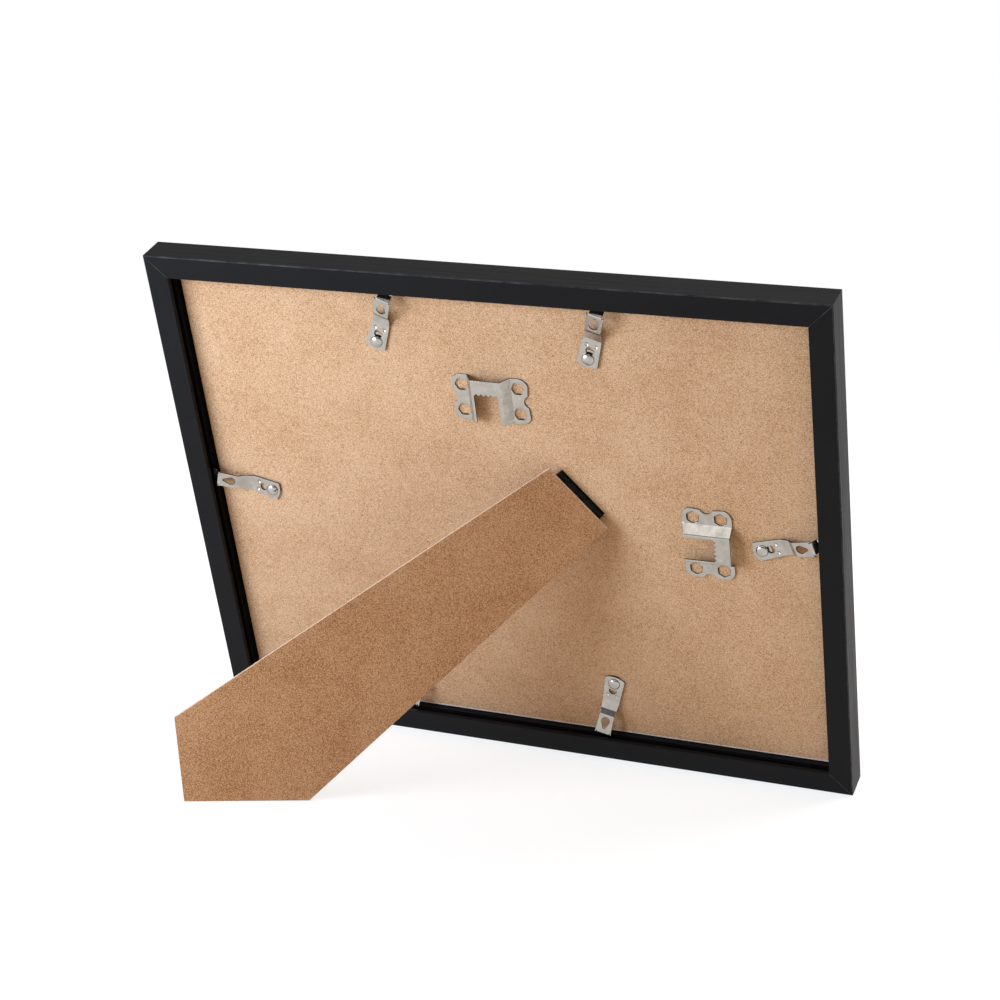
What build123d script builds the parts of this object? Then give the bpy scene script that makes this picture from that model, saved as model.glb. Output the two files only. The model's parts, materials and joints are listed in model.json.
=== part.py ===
from build123d import *
from math import asin, cos, radians, sin, tan
import os

# Easel back photo frame for a letter-size sheet, standing on its strut in landscape.
# Everything is laid out on the frame's own back face first: u runs right as seen from behind,
# v runs up the back and w points out of it. The back face is then leaned back and set on the floor.

# Sheets held in the frame
sheet_width = 279.4
sheet_height = 215.9
sheet_clearance = 0.8  # free space on each side of the sheets in the rabbet
sheet_rest_gap = 0.1  # what is left of it below, where the sheets have slid down
sheet_side_shift = 0.4  # and how far they have slid to the right
glass_thickness = 2.0
insert_thickness = 0.3
board_thickness = 2.4

# Moulding of the rails and stiles
rail_width = 10.25  # back face, from the outer edge to the rabbet wall
lip_width = 5.0
lip_thickness = 2.0
recess_depth = 7.5  # from the board's back up to the back edge of the moulding
edge_radius = 0.5
mouth_chamfer = 0.3
groove_inset = 2.0  # from the back edge to the groove that takes the clips
groove_width = 3.0
groove_depth = 4.4

# How the frame stands
lean_angle = 20.5
hinge_line_angle = 48.8  # slope of the hinge line down to the right
strut_open_angle = 37.2
hinge_across = 36.4  # hinge centre from the frame's centre
hinge_up = 17.3

# Strut
strut_thickness = 2.5
strut_top_width = 35.6
strut_left_flare = 10.85
strut_right_flare = -1.88
strut_top_gap = 0.3  # between the hinge barrel and the strut's top edge

# Hinge
leaf_thickness = 0.5
leaf_length = 13.0
pin_radius = 0.65
pin_clearance = 0.04
barrel_length = 26.4
knuckle_count = 5
knuckle_gap = 0.3
barrel_lift = 0.25  # clear space under the barrel
heel_start = 0.85  # stop heel along the barrel, from the hinge axis
heel_reach = 1.35
heel_gap = 0.05
hinge_rivet_span = 16.0
hinge_rivet_setback = 8.0
hinge_rivet_head_radius = 1.9
hinge_rivet_head_height = 0.6
leaf_prong_span = 20.0
leaf_prong_first = 4.5
leaf_prong_step = 6.0

# Turn clips
clip_thickness = 0.6
clip_pad_width = 9.2
clip_riser_width = 7.9
clip_waist_width = 6.8
clip_platform_width = 7.2
clip_inset = 26.6  # rivet to rabbet wall, before the shift
clip_shift_across = 0.8  # how far the board's rivets lie off the frame's centre
clip_shift_up = 0.8
clip_pad_end = 3.9
clip_pad_corner = 2.6
clip_bend_radius = 0.9
clip_riser_start = 9.8
clip_crest = 13.9  # where the riser steepens
clip_crest_height = 1.75
clip_platform_start = 15.9
clip_platform_height = 3.7
clip_platform_end = 24.2
clip_platform_top = 6.0
clip_tongue_bend = 25.4
clip_tongue_height = 3.5
clip_tongue_drop = 0.5
clip_tongue_bite = 3.1  # how far the tongue reaches past the rabbet wall
clip_tongue_half = 2.9
clip_ear_reach = 0.4
clip_ear_flare = 0.2
clip_ear_root = 1.0
clip_ear_width = 0.5
clip_notch_depth = 0.1
keyhole_offset = 4.0
keyhole_radius = 1.9
dimple_offset = 6.75
dimple_spacing = 4.1
dimple_radius = 0.85
dimple_depth = 0.35
dimple_taper = 30
teardrop_offset = 18.75
teardrop_radius = 2.0
teardrop_length = 3.35
teardrop_tip_radius = 0.4

# Clip rivets
rivet_radius = 1.1
rivet_head_radius = 2.75
rivet_head_height = 1.4
rivet_flange_radius = 4.2
rivet_flange_height = 0.4
rivet_tail_radius = 1.9
rivet_tail_height = 0.8
rivet_fit = 0.05

# Raised sawtooth hangers
hanger_thickness = 0.7
hanger_hole_span = 25.4
hanger_hole_rise = 12.1
hanger_lobe_radius = 4.8
hanger_hole_radius = 3.0
hanger_hole_sides = 6
hanger_scallop_radius = 3.2
hanger_scallop_offset = 0.6
hanger_bridge_height = 5.4
hanger_bridge_half = 6.3
hanger_foot_half = 9.5
hanger_bend_radius = 0.8
hanger_strip_depth = 7.2
hanger_tooth_count = 5
hanger_tooth_depth = 1.1
hanger_inset = 49.1  # centre to rabbet wall
hanger_cut_margin = 0.8  # flange left on each side of the cut-out
hanger_leg_trim = 1.5  # how much shorter the legs are at the bridge than at the board
landscape_hanger_along = 0.6
portrait_hanger_along = 1.0

# Prongs that hold hangers and strut leaf in the fibreboard
prong_width = 1.6
prong_thickness = 0.6
prong_depth = 1.8
prong_fit = 0.05

# Each clip's place along its side, counted anticlockwise round the back, and its turn from square
clip_top_left_along = -49.4
clip_top_left_turn = -20.9
clip_top_right_along = 45.4
clip_top_right_turn = -17.4
clip_left_along = 1.0
clip_left_turn = -16.0
clip_right_along = 1.8
clip_right_turn = 18.2
clip_bottom_left_along = 48.8
clip_bottom_left_turn = -22.0
clip_bottom_right_along = -41.6
clip_bottom_right_turn = -13.1
clip_places = {
    "clip_top_left": ("top", clip_top_left_along, clip_top_left_turn),
    "clip_top_right": ("top", clip_top_right_along, clip_top_right_turn),
    "clip_left": ("left", clip_left_along, clip_left_turn),
    "clip_right": ("right", clip_right_along, clip_right_turn),
    "clip_bottom_left": ("bottom", clip_bottom_left_along, clip_bottom_left_turn),
    "clip_bottom_right": ("bottom", clip_bottom_right_along, clip_bottom_right_turn),
}
side_turns = {"top": 0, "left": 90, "bottom": 180, "right": 270}

# Sizes that follow
opening_width = sheet_width + 2 * sheet_clearance
opening_height = sheet_height + 2 * sheet_clearance
frame_width = opening_width + 2 * rail_width
frame_height = opening_height + 2 * rail_width
frame_depth = lip_thickness + glass_thickness + insert_thickness + board_thickness + recess_depth
board_face = -recess_depth
board_front = board_face - board_thickness
insert_front = board_front - insert_thickness
sheet_centre = (sheet_side_shift, sheet_rest_gap - sheet_clearance)
bore_radius = pin_radius + pin_clearance
knuckle_radius = bore_radius + leaf_thickness
barrel_height = knuckle_radius + barrel_lift
clip_pad_height = rivet_flange_height + rivet_fit
hanger_half_length = hanger_hole_span / 2 + hanger_lobe_radius
hanger_half_height = hanger_hole_rise / 2 + hanger_lobe_radius

# Stance: the rounded back edge of the bottom rail and the foot of the strut meet the floor at z = 0
lean = radians(lean_angle)
floor_up = Vector(0, cos(lean), -sin(lean))
floor_back = Vector(0, sin(lean), cos(lean))
edge_lift = edge_radius * (cos(lean) + sin(lean) - 1)

# Planes of the hinge and of the strut's inner face, in the frame's own directions
hinge_turn = radians(hinge_line_angle)
hinge_axis_plane = Plane(
    origin=(hinge_across, hinge_up, board_face + barrel_height),
    x_dir=(cos(hinge_turn), -sin(hinge_turn), 0),
    z_dir=(0, 0, 1),
)
strut_axis_plane = Plane(hinge_axis_plane.location * Rotation(-strut_open_angle, 0, 0))
strut_face_plane = strut_axis_plane.offset(knuckle_radius)


def floor_line(up, edge_point):
    """Where the strut's inner face meets the floor under one back edge, as a, b, c of ax + by = c."""
    rise = (edge_point - strut_face_plane.origin).dot(up) + edge_lift
    return strut_face_plane.x_dir.dot(up), strut_face_plane.y_dir.dot(up), rise


def side_line(corner, flare):
    """A long edge of the strut, which starts at a top corner and flares to the right by an angle."""
    return 1.0, tan(radians(flare)), corner[0] + corner[1] * tan(radians(flare))


def meet(first, second):
    """The point that two lines share."""
    a, b, c = first
    d, e, f = second
    size = a * e - b * d
    return (c * e - b * f) / size, (a * f - c * d) / size


strut_top = -(knuckle_radius + strut_top_gap)
strut_top_left = (-strut_top_width / 2, strut_top)
strut_top_right = (strut_top_width / 2, strut_top)
landscape_floor = floor_line(floor_up, Vector(0, -frame_height / 2, 0))
portrait_floor = floor_line(Vector(cos(lean), 0, -sin(lean)), Vector(-frame_width / 2, 0, 0))
strut_outline = [
    strut_top_left,
    strut_top_right,
    meet(side_line(strut_top_right, strut_right_flare), landscape_floor),
    meet(landscape_floor, portrait_floor),
    meet(side_line(strut_top_left, -strut_left_flare), portrait_floor),
]

# The origin lies on the floor, midway between the front bottom edge and the tip of the strut
strut_tip = strut_face_plane.from_local_coords((*strut_outline[3], strut_thickness))
tip_back = strut_tip.dot(floor_back)
front_back = Vector(0, -frame_height / 2, -frame_depth).dot(floor_back)
back_plane = Plane(
    origin=(0, -(tip_back + front_back) / 2, frame_height / 2 * cos(lean) - edge_lift),
    x_dir=(-1, 0, 0),
    z_dir=(0, cos(lean), -sin(lean)),
)


def on_frame(plane):
    """Sets a plane given in the frame's own directions onto the leaning frame."""
    return Plane(back_plane * plane.location)


def upright(plane):
    """The plane that stands on another plane's x direction, for side views and turned profiles."""
    return Plane(origin=plane.origin, x_dir=plane.x_dir, z_dir=-plane.y_dir)


def clip_plane(side, along, turn):
    """Plane of a clip on the board's back: origin at its rivet, x towards the rail."""
    base = Plane.XY.rotated((0, 0, side_turns[side]))
    half_opening = opening_height / 2 if side in ("top", "bottom") else opening_width / 2
    rivet_point = base.from_local_coords((along, half_opening - clip_inset, board_face))
    rivet_point += Vector(clip_shift_across, clip_shift_up, 0)
    return on_frame(Plane(origin=rivet_point, x_dir=base.y_dir.rotate(Axis.Z, turn), z_dir=(0, 0, 1)))


clip_planes = {name: clip_plane(*place) for name, place in clip_places.items()}
hanger_planes = {
    "hanger_landscape": on_frame(
        Plane(
            origin=(landscape_hanger_along, opening_height / 2 - hanger_inset, board_face),
            x_dir=(1, 0, 0),
            z_dir=(0, 0, 1),
        )
    ),
    "hanger_portrait": on_frame(
        Plane(
            origin=(opening_width / 2 - hanger_inset, -portrait_hanger_along, board_face),
            x_dir=(0, -1, 0),
            z_dir=(0, 0, 1),
        )
    ),
}
hinge_plane = on_frame(hinge_axis_plane)
leaf_plane = hinge_plane.offset(-barrel_height)
strut_plane = on_frame(strut_face_plane)
hinge_rivet_places = [(x, -hinge_rivet_setback) for x in (-hinge_rivet_span / 2, hinge_rivet_span / 2)]
hinge_rivet_planes = [
    Plane(origin=leaf_plane.from_local_coords((*place, 0)), x_dir=leaf_plane.x_dir, z_dir=leaf_plane.z_dir)
    for place in hinge_rivet_places
]
hanger_hole_places = [
    (x * hanger_hole_span / 2, y * hanger_hole_rise / 2) for x in (-1, 1) for y in (-1, 1)
]
prong_shift = hanger_hole_radius * cos(radians(180 / hanger_hole_sides)) + prong_thickness / 2
hanger_prong_places = [(x, y + side * prong_shift) for x, y in hanger_hole_places for side in (-1, 1)]
leaf_prong_places = [
    (side * leaf_prong_span / 2, -leaf_prong_first - row * leaf_prong_step) for row in (0, 1) for side in (-1, 1)
]


def mitred_strip(plane, length, reach, near, far):
    """A strip along one side of the frame, between two depths from its outer edge, with mitred ends."""
    with BuildSketch(plane) as strip:
        with BuildLine():
            Polyline(
                (-length / 2 + near, reach - near),
                (length / 2 - near, reach - near),
                (length / 2 - far, reach - far),
                (-length / 2 + far, reach - far),
                close=True,
            )
        make_face()
    return strip.sketch


def prong_section(plane, places, fit):
    """The prongs' cross-sections where they enter the fibreboard, widened by a fit."""
    with BuildSketch(plane) as section:
        with Locations(*places):
            Rectangle(prong_width + 2 * fit, prong_thickness + 2 * fit)
    return section.sketch


def rivet_section(plane, flange_radius, flange_height, neck, head_radius, head_height):
    """Half section of a rivet through the board: flared tail, shank, flange, neck and domed head."""
    head_base = flange_height + neck
    head_top = head_base + head_height
    corners = [
        (0, head_top),
        (0, -board_thickness),
        (rivet_tail_radius, -board_thickness),
        (rivet_radius, rivet_tail_height - board_thickness),
    ]
    if flange_height > 0:
        corners += [(rivet_radius, 0), (flange_radius, 0)]
        corners += [(flange_radius, flange_height), (rivet_radius, flange_height)]
    corners += [(rivet_radius, head_base), (head_radius, head_base)]
    dome_radius = (head_radius**2 + head_height**2) / (2 * head_height)
    half_way = asin(head_radius / dome_radius) / 2
    dome_point = (dome_radius * sin(half_way), head_top - dome_radius * (1 - cos(half_way)))
    with BuildSketch(upright(plane)) as section:
        with BuildLine():
            Polyline(*corners)
            ThreePointArc(corners[-1], dome_point, corners[0])
        make_face()
    return section.sketch


def rivet_hole(plane):
    """Half section of the hole that a rivet's shank and flared tail need in the board."""
    with BuildSketch(upright(plane)) as section:
        with BuildLine():
            Polyline(
                (0, 0),
                (0, -board_thickness),
                (rivet_tail_radius + rivet_fit, -board_thickness),
                (rivet_radius + rivet_fit, rivet_tail_height - board_thickness),
                (rivet_radius + rivet_fit, 0),
                close=True,
            )
        make_face()
    return section.sketch


os.makedirs("parts", exist_ok=True)

# Mitred moulding: two rails and two stiles with a rabbet for the sheets and a groove for the clips
rail_names = {"top_rail": "top", "left_stile": "left", "bottom_rail": "bottom", "right_stile": "right"}
for rail_name, side in rail_names.items():
    rail_plane = on_frame(Plane.XY.rotated((0, 0, side_turns[side])))
    length, reach = (frame_width, frame_height / 2)
    if side in ("left", "right"):
        length, reach = (frame_height, frame_width / 2)
    with BuildPart() as rail:
        extrude(mitred_strip(rail_plane, length, reach, 0, rail_width + lip_width), amount=-frame_depth)
        rabbet = mitred_strip(rail_plane, length, reach, rail_width, rail_width + lip_width)
        extrude(rabbet, amount=lip_thickness - frame_depth, mode=Mode.SUBTRACT)
        groove = mitred_strip(
            rail_plane.offset(-groove_inset), length, reach, rail_width - groove_depth, rail_width
        )
        extrude(groove, amount=-groove_width, mode=Mode.SUBTRACT)
        long_edges = rail.edges().filter_by(Axis(rail_plane.origin, rail_plane.x_dir))
        lip_edges, wall_edges, *_ = long_edges.group_by(Axis(rail_plane.origin, rail_plane.y_dir))
        outward = Axis(rail_plane.origin, rail_plane.z_dir)
        chamfer([wall_edges.sort_by(outward)[-1], lip_edges.sort_by(outward)[0]], mouth_chamfer)
        long_edges = rail.edges().filter_by(Axis(rail_plane.origin, rail_plane.x_dir))
        fillet(long_edges.group_by(Axis(rail_plane.origin, rail_plane.y_dir))[-1], edge_radius)
    rail.part.label = rail_name
    export_step(rail.part, f"parts/{rail_name}.step")

# Sheets: glass, picture insert and fibreboard back, stacked from the lip
sheet_plane = on_frame(Plane(origin=(*sheet_centre, 0)))

with BuildPart() as glass_pane:
    with BuildSketch(sheet_plane.offset(insert_front)):
        Rectangle(sheet_width, sheet_height)
    extrude(amount=-glass_thickness)
glass_pane.part.label = "glass_pane"
export_step(glass_pane.part, "parts/glass_pane.step")

with BuildPart() as picture_insert:
    with BuildSketch(sheet_plane.offset(board_front)):
        Rectangle(sheet_width, sheet_height)
    extrude(amount=-insert_thickness)
picture_insert.part.label = "picture_insert"
export_step(picture_insert.part, "parts/picture_insert.step")

with BuildPart() as backboard:
    with BuildSketch(sheet_plane.offset(board_face)):
        Rectangle(sheet_width, sheet_height)
    extrude(amount=-board_thickness)
    for plane in [*clip_planes.values(), *hinge_rivet_planes]:
        revolve(rivet_hole(plane), axis=Axis(plane.origin, plane.z_dir), mode=Mode.SUBTRACT)
    for plane in hanger_planes.values():
        slots = prong_section(plane, hanger_prong_places, prong_fit)
        extrude(slots, amount=-prong_depth - prong_fit, mode=Mode.SUBTRACT)
backboard.part.label = "backboard"
export_step(backboard.part, "parts/backboard.step")

# Six turn clips of bent spring steel, each on its own rivet
clip_tip = clip_inset + clip_tongue_bite
clip_side = [
    (-clip_pad_end, clip_pad_height),
    (clip_riser_start, clip_pad_height),
    (clip_crest, clip_pad_height + clip_crest_height),
    (clip_platform_start, clip_pad_height + clip_platform_height),
    (clip_platform_end, clip_pad_height + clip_platform_top),
    (clip_tongue_bend, clip_pad_height + clip_tongue_height),
    (clip_tip, clip_pad_height + clip_tongue_height - clip_tongue_drop),
]
clip_half = clip_platform_width / 2
clip_edge = [
    (-clip_pad_corner, clip_pad_width / 2),
    (clip_riser_start, clip_riser_width / 2),
    (clip_platform_start, clip_waist_width / 2),
    (clip_platform_end - clip_ear_root, clip_half),
    (clip_platform_end + clip_ear_reach, clip_half + clip_ear_flare),
    (clip_platform_end + clip_notch_depth, clip_half - clip_ear_width),
    (clip_platform_end + clip_notch_depth, clip_tongue_half),
    (clip_tip, clip_tongue_half - clip_ear_flare),
]
clip_outline = clip_edge + [(x, -y) for x, y in reversed(clip_edge)]
clip_reach = clip_pad_height + clip_platform_top + 2 * clip_thickness

for clip_name, plane in clip_planes.items():
    with BuildPart() as clip:
        with BuildSketch(upright(plane)):
            with BuildLine():
                FilletPolyline(*clip_side, radius=clip_bend_radius)
                offset(amount=clip_thickness, side=Side.LEFT)
            make_face()
        extrude(amount=clip_pad_width / 2, both=True)
        with BuildSketch(plane):
            with BuildLine():
                Polyline(*clip_outline)
                ThreePointArc(clip_outline[-1], (-clip_pad_end, 0), clip_outline[0])
            make_face()
        extrude(amount=clip_reach, mode=Mode.INTERSECT)
        with BuildSketch(plane):
            Circle(rivet_radius + rivet_fit)
            with Locations((keyhole_offset / 2, 0)):
                Rectangle(keyhole_offset, 2 * (rivet_radius + rivet_fit))
            with Locations((keyhole_offset, 0)):
                Circle(keyhole_radius)
        extrude(amount=clip_reach, mode=Mode.SUBTRACT)
        with BuildSketch(plane):
            with Locations((teardrop_offset, 0)):
                Circle(teardrop_radius)
            with Locations((teardrop_offset + teardrop_length, 0)):
                Circle(teardrop_tip_radius)
            make_hull()
        extrude(amount=clip_reach, mode=Mode.SUBTRACT)
        with BuildSketch(plane.offset(clip_pad_height + clip_thickness)):
            with Locations((dimple_offset, -dimple_spacing / 2), (dimple_offset, dimple_spacing / 2)):
                Circle(dimple_radius)
        extrude(amount=-dimple_depth, taper=dimple_taper, mode=Mode.SUBTRACT)
    clip.part.label = clip_name
    export_step(clip.part, f"parts/{clip_name}.step")

with BuildPart() as clip_rivets:
    for plane in clip_planes.values():
        section = rivet_section(
            plane,
            rivet_flange_radius,
            rivet_flange_height,
            clip_thickness + 2 * rivet_fit,
            rivet_head_radius,
            rivet_head_height,
        )
        revolve(section, axis=Axis(plane.origin, plane.z_dir))
clip_rivets.part.label = "clip_rivets"
export_step(clip_rivets.part, "parts/clip_rivets.step")

# Two raised sawtooth hangers, one for each way of hanging
hanger_side = [
    (-hanger_half_length, 0),
    (-hanger_foot_half, 0),
    (-hanger_bridge_half, hanger_bridge_height - hanger_thickness),
    (hanger_bridge_half, hanger_bridge_height - hanger_thickness),
    (hanger_foot_half, 0),
    (hanger_half_length, 0),
]
cut_half = hanger_bridge_half - hanger_cut_margin
cut_top = hanger_half_height - hanger_strip_depth
tooth_pitch = 2 * cut_half / hanger_tooth_count
tooth_line = [
    (-cut_half + step * tooth_pitch / 2, cut_top + (step % 2) * hanger_tooth_depth)
    for step in range(2 * hanger_tooth_count + 1)
]
leg_end = hanger_leg_trim - hanger_half_height
cut_right = [
    (cut_half, leg_end),
    (hanger_bridge_half, leg_end),
    (hanger_foot_half, -hanger_half_height),
    (hanger_foot_half, -2 * hanger_half_height),
]
cut_outline = tooth_line + cut_right + [(-x, y) for x, y in reversed(cut_right)]

for hanger_name, plane in hanger_planes.items():
    with BuildPart() as hanger:
        with BuildSketch(upright(plane)):
            with BuildLine():
                FilletPolyline(*hanger_side, radius=hanger_bend_radius)
                offset(amount=hanger_thickness, side=Side.LEFT)
            make_face()
        extrude(amount=hanger_half_height, both=True)
        with BuildSketch(plane):
            RectangleRounded(2 * hanger_half_length, 2 * hanger_half_height, hanger_lobe_radius)
            scallop = hanger_half_length + hanger_scallop_offset
            with Locations((-scallop, 0), (scallop, 0)):
                Circle(hanger_scallop_radius, mode=Mode.SUBTRACT)
            with Locations(*hanger_hole_places):
                RegularPolygon(hanger_hole_radius, hanger_hole_sides, mode=Mode.SUBTRACT)
            with BuildLine():
                Polyline(*cut_outline, close=True)
            make_face(mode=Mode.SUBTRACT)
        extrude(amount=hanger_bridge_height, mode=Mode.INTERSECT)
        extrude(prong_section(plane, hanger_prong_places, 0), amount=-prong_depth)
    hanger.part.label = hanger_name
    export_step(hanger.part, f"parts/{hanger_name}.step")

# Strut hinge: a leaf riveted to the board, a leaf pronged into the strut, and their pin
knuckle_pitch = barrel_length / knuckle_count
knuckle_length = knuckle_pitch - knuckle_gap
knuckle_places = [(index + 0.5) * knuckle_pitch - barrel_length / 2 for index in range(knuckle_count)]
board_knuckles = knuckle_places[0::2]
strut_knuckles = knuckle_places[1::2]
leaf_width = barrel_length - knuckle_gap
barrel_plane = Plane(origin=hinge_plane.origin, x_dir=hinge_plane.y_dir, z_dir=hinge_plane.x_dir)


def barrel_rings(places, radius):
    """Cross-sections of the barrel at the middle of the given knuckles."""
    rings = []
    for place in places:
        with BuildSketch(barrel_plane.offset(place)) as ring:
            Circle(radius)
        rings.append(ring.sketch)
    return rings


with BuildPart() as hinge_board_leaf:
    with BuildSketch(leaf_plane):
        with Locations((0, -leaf_length / 2)):
            Rectangle(leaf_width, leaf_length)
    extrude(amount=leaf_thickness)
    for ring in barrel_rings(strut_knuckles, knuckle_radius + knuckle_gap):
        extrude(ring, amount=knuckle_length / 2 + knuckle_gap, both=True, mode=Mode.SUBTRACT)
    for ring in barrel_rings(board_knuckles, knuckle_radius):
        extrude(ring, amount=knuckle_length / 2, both=True)
    with BuildSketch(barrel_plane):
        Circle(bore_radius)
    extrude(amount=barrel_length, both=True, mode=Mode.SUBTRACT)
    with BuildSketch(leaf_plane):
        with Locations(*hinge_rivet_places):
            Circle(rivet_radius + rivet_fit)
    extrude(amount=leaf_thickness, mode=Mode.SUBTRACT)
hinge_board_leaf.part.label = "hinge_board_leaf"
export_step(hinge_board_leaf.part, "parts/hinge_board_leaf.step")

with BuildPart() as hinge_board_rivets:
    for plane in hinge_rivet_planes:
        section = rivet_section(
            plane,
            rivet_radius,
            0,
            leaf_thickness,
            hinge_rivet_head_radius,
            hinge_rivet_head_height,
        )
        revolve(section, axis=Axis(plane.origin, plane.z_dir))
hinge_board_rivets.part.label = "hinge_board_rivets"
export_step(hinge_board_rivets.part, "parts/hinge_board_rivets.step")

with BuildPart() as hinge_pin:
    with BuildSketch(barrel_plane):
        Circle(pin_radius)
    extrude(amount=leaf_width / 2, both=True)
hinge_pin.part.label = "hinge_pin"
export_step(hinge_pin.part, "parts/hinge_pin.step")

# The strut's leaf carries the heel, a bar along the barrel that lands on the board and stops the strut
with BuildPart() as hinge_strut_leaf:
    with BuildSketch(strut_plane):
        with Locations((0, -leaf_length / 2)):
            Rectangle(leaf_width, leaf_length)
    extrude(amount=-leaf_thickness)
    for ring in barrel_rings(board_knuckles, knuckle_radius + knuckle_gap):
        extrude(ring, amount=knuckle_length / 2 + knuckle_gap, both=True, mode=Mode.SUBTRACT)
    for ring in barrel_rings(strut_knuckles, knuckle_radius):
        extrude(ring, amount=knuckle_length / 2, both=True)
    with BuildSketch(leaf_plane.offset(heel_gap)):
        with Locations((0, (heel_start + heel_reach) / 2)):
            Rectangle(leaf_width, heel_reach - heel_start)
        with Locations(*[(place, heel_reach / 2) for place in strut_knuckles]):
            Rectangle(knuckle_length, heel_reach)
    extrude(amount=leaf_thickness)
    with BuildSketch(barrel_plane):
        Circle(bore_radius)
    extrude(amount=barrel_length, both=True, mode=Mode.SUBTRACT)
    extrude(prong_section(strut_plane, leaf_prong_places, 0), amount=prong_depth)
hinge_strut_leaf.part.label = "hinge_strut_leaf"
export_step(hinge_strut_leaf.part, "parts/hinge_strut_leaf.step")

# Fibreboard strut: its foot is cut to stand on the floor in landscape and in portrait
with BuildPart() as strut:
    with BuildSketch(strut_plane):
        with BuildLine():
            Polyline(*strut_outline, close=True)
        make_face()
    extrude(amount=strut_thickness)
    slots = prong_section(strut_plane, leaf_prong_places, prong_fit)
    extrude(slots, amount=prong_depth + prong_fit, mode=Mode.SUBTRACT)
strut.part.label = "strut"
export_step(strut.part, "parts/strut.step")
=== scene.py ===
import json
import math

import bmesh
import bpy
from bpy.props import FloatProperty, FloatVectorProperty, IntProperty, PointerProperty
from mathutils import Matrix, Vector


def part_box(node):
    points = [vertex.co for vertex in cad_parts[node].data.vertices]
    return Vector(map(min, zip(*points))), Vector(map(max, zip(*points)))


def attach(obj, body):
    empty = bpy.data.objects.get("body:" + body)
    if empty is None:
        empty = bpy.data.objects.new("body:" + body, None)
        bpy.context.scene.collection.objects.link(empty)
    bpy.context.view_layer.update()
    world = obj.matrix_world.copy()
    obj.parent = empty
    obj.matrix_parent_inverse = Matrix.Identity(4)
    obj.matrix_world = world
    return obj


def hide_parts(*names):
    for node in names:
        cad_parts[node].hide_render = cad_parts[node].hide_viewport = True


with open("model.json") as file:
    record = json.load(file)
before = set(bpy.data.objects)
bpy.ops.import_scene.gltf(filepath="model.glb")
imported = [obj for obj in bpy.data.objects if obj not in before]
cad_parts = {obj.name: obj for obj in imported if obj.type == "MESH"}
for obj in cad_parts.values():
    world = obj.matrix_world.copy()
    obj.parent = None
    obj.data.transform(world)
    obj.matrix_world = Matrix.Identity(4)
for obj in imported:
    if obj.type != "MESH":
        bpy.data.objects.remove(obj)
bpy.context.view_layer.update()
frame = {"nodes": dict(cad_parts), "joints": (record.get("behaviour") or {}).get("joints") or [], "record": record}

bl_info = {
    "name": "Easel Back Photo Frame",
    "version": (1, 0, 0),
    "blender": (4, 5, 0),
    "location": "3D View > Sidebar > Photo Frame",
    "description": "Builds the moulding, back, strut and hardware of a photo frame seen from behind",
    "category": "Object",
}

MM = 0.001
NODES = frame["nodes"]
JOINTS = {joint["name"]: joint for joint in frame["joints"]}
MOUNTS = {mount["name"]: mount for mount in frame["record"]["mounts"]}

# Directions of the leaning frame, as seen from behind: to the right, up the back and out of it
ACROSS = Vector((-1.0, 0.0, 0.0))
OUT = Vector(JOINTS["clip_left_turn"]["axis"])
UP = OUT.cross(ACROSS)
LEAN = math.atan2(-OUT.z, OUT.y)

# Turn of each clip from the rightward direction, in degrees, anticlockwise
CLIP_TURNS = {
    "clip_top_left": 69.1,
    "clip_top_right": 72.6,
    "clip_left": 164.0,
    "clip_right": 18.2,
    "clip_bottom_left": 248.0,
    "clip_bottom_right": 256.9,
}

# Places along a clip, in millimetres from its rivet
CLIP_RISER = 9.8
CLIP_CREST = 13.9
CLIP_PLATFORM = 15.9
CLIP_NOTCH = 23.85
CLIP_END = 24.2

# Half widths of a clip's tongue and notch, in millimetres
CLIP_TONGUE = 2.9
CLIP_EAR = 3.1

# Dimples of a clip, in millimetres, and the faces round one
DIMPLE_PLACE = 6.75
DIMPLE_SIDE = 2.05
DIMPLE_RADIUS = 0.85
DIMPLE_SIDES = 20

# Inside radius of a bend in sheet steel, in millimetres, and the faces round it
BEND = 0.35
BEND_STEPS = 5

# Faces round an outer corner of the moulding and round the mouth of its rabbet
CORNER_STEPS = 4
MOUTH_STEPS = 3

# Points closer than this are welded, in millimetres
WELD = 0.001

# Angles in degrees: smooth shading below, edges rounded above, triangles merged below
SMOOTH_ANGLE = 35.0
SHARP_ANGLE = 38
FLAT_ANGLE = 0.5

# How squarely a face looks out of the back to count as its front or back face
FACING = 0.95

# Where nearly all values of a noise lie
NOISE_LOW = 0.3
NOISE_HIGH = 0.7


def linear(code):
    """Turns an sRGB hex colour into linear red, green, blue and alpha."""
    parts = [int(code[place : place + 2], 16) / 255 for place in (1, 3, 5)]
    return tuple(p / 12.92 if p <= 0.04045 else ((p + 0.055) / 1.055) ** 2.4 for p in parts) + (1.0,)


def length(name, size, description):
    """A length property whose default is given in millimetres."""
    return FloatProperty(name=name, description=description, default=size * MM, unit="LENGTH", precision=5)


def paint(name, code, description):
    """A colour property whose default is an sRGB hex value."""
    return FloatVectorProperty(
        name=name, description=description, default=linear(code), subtype="COLOR", size=4, min=0.0, max=1.0
    )


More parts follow.
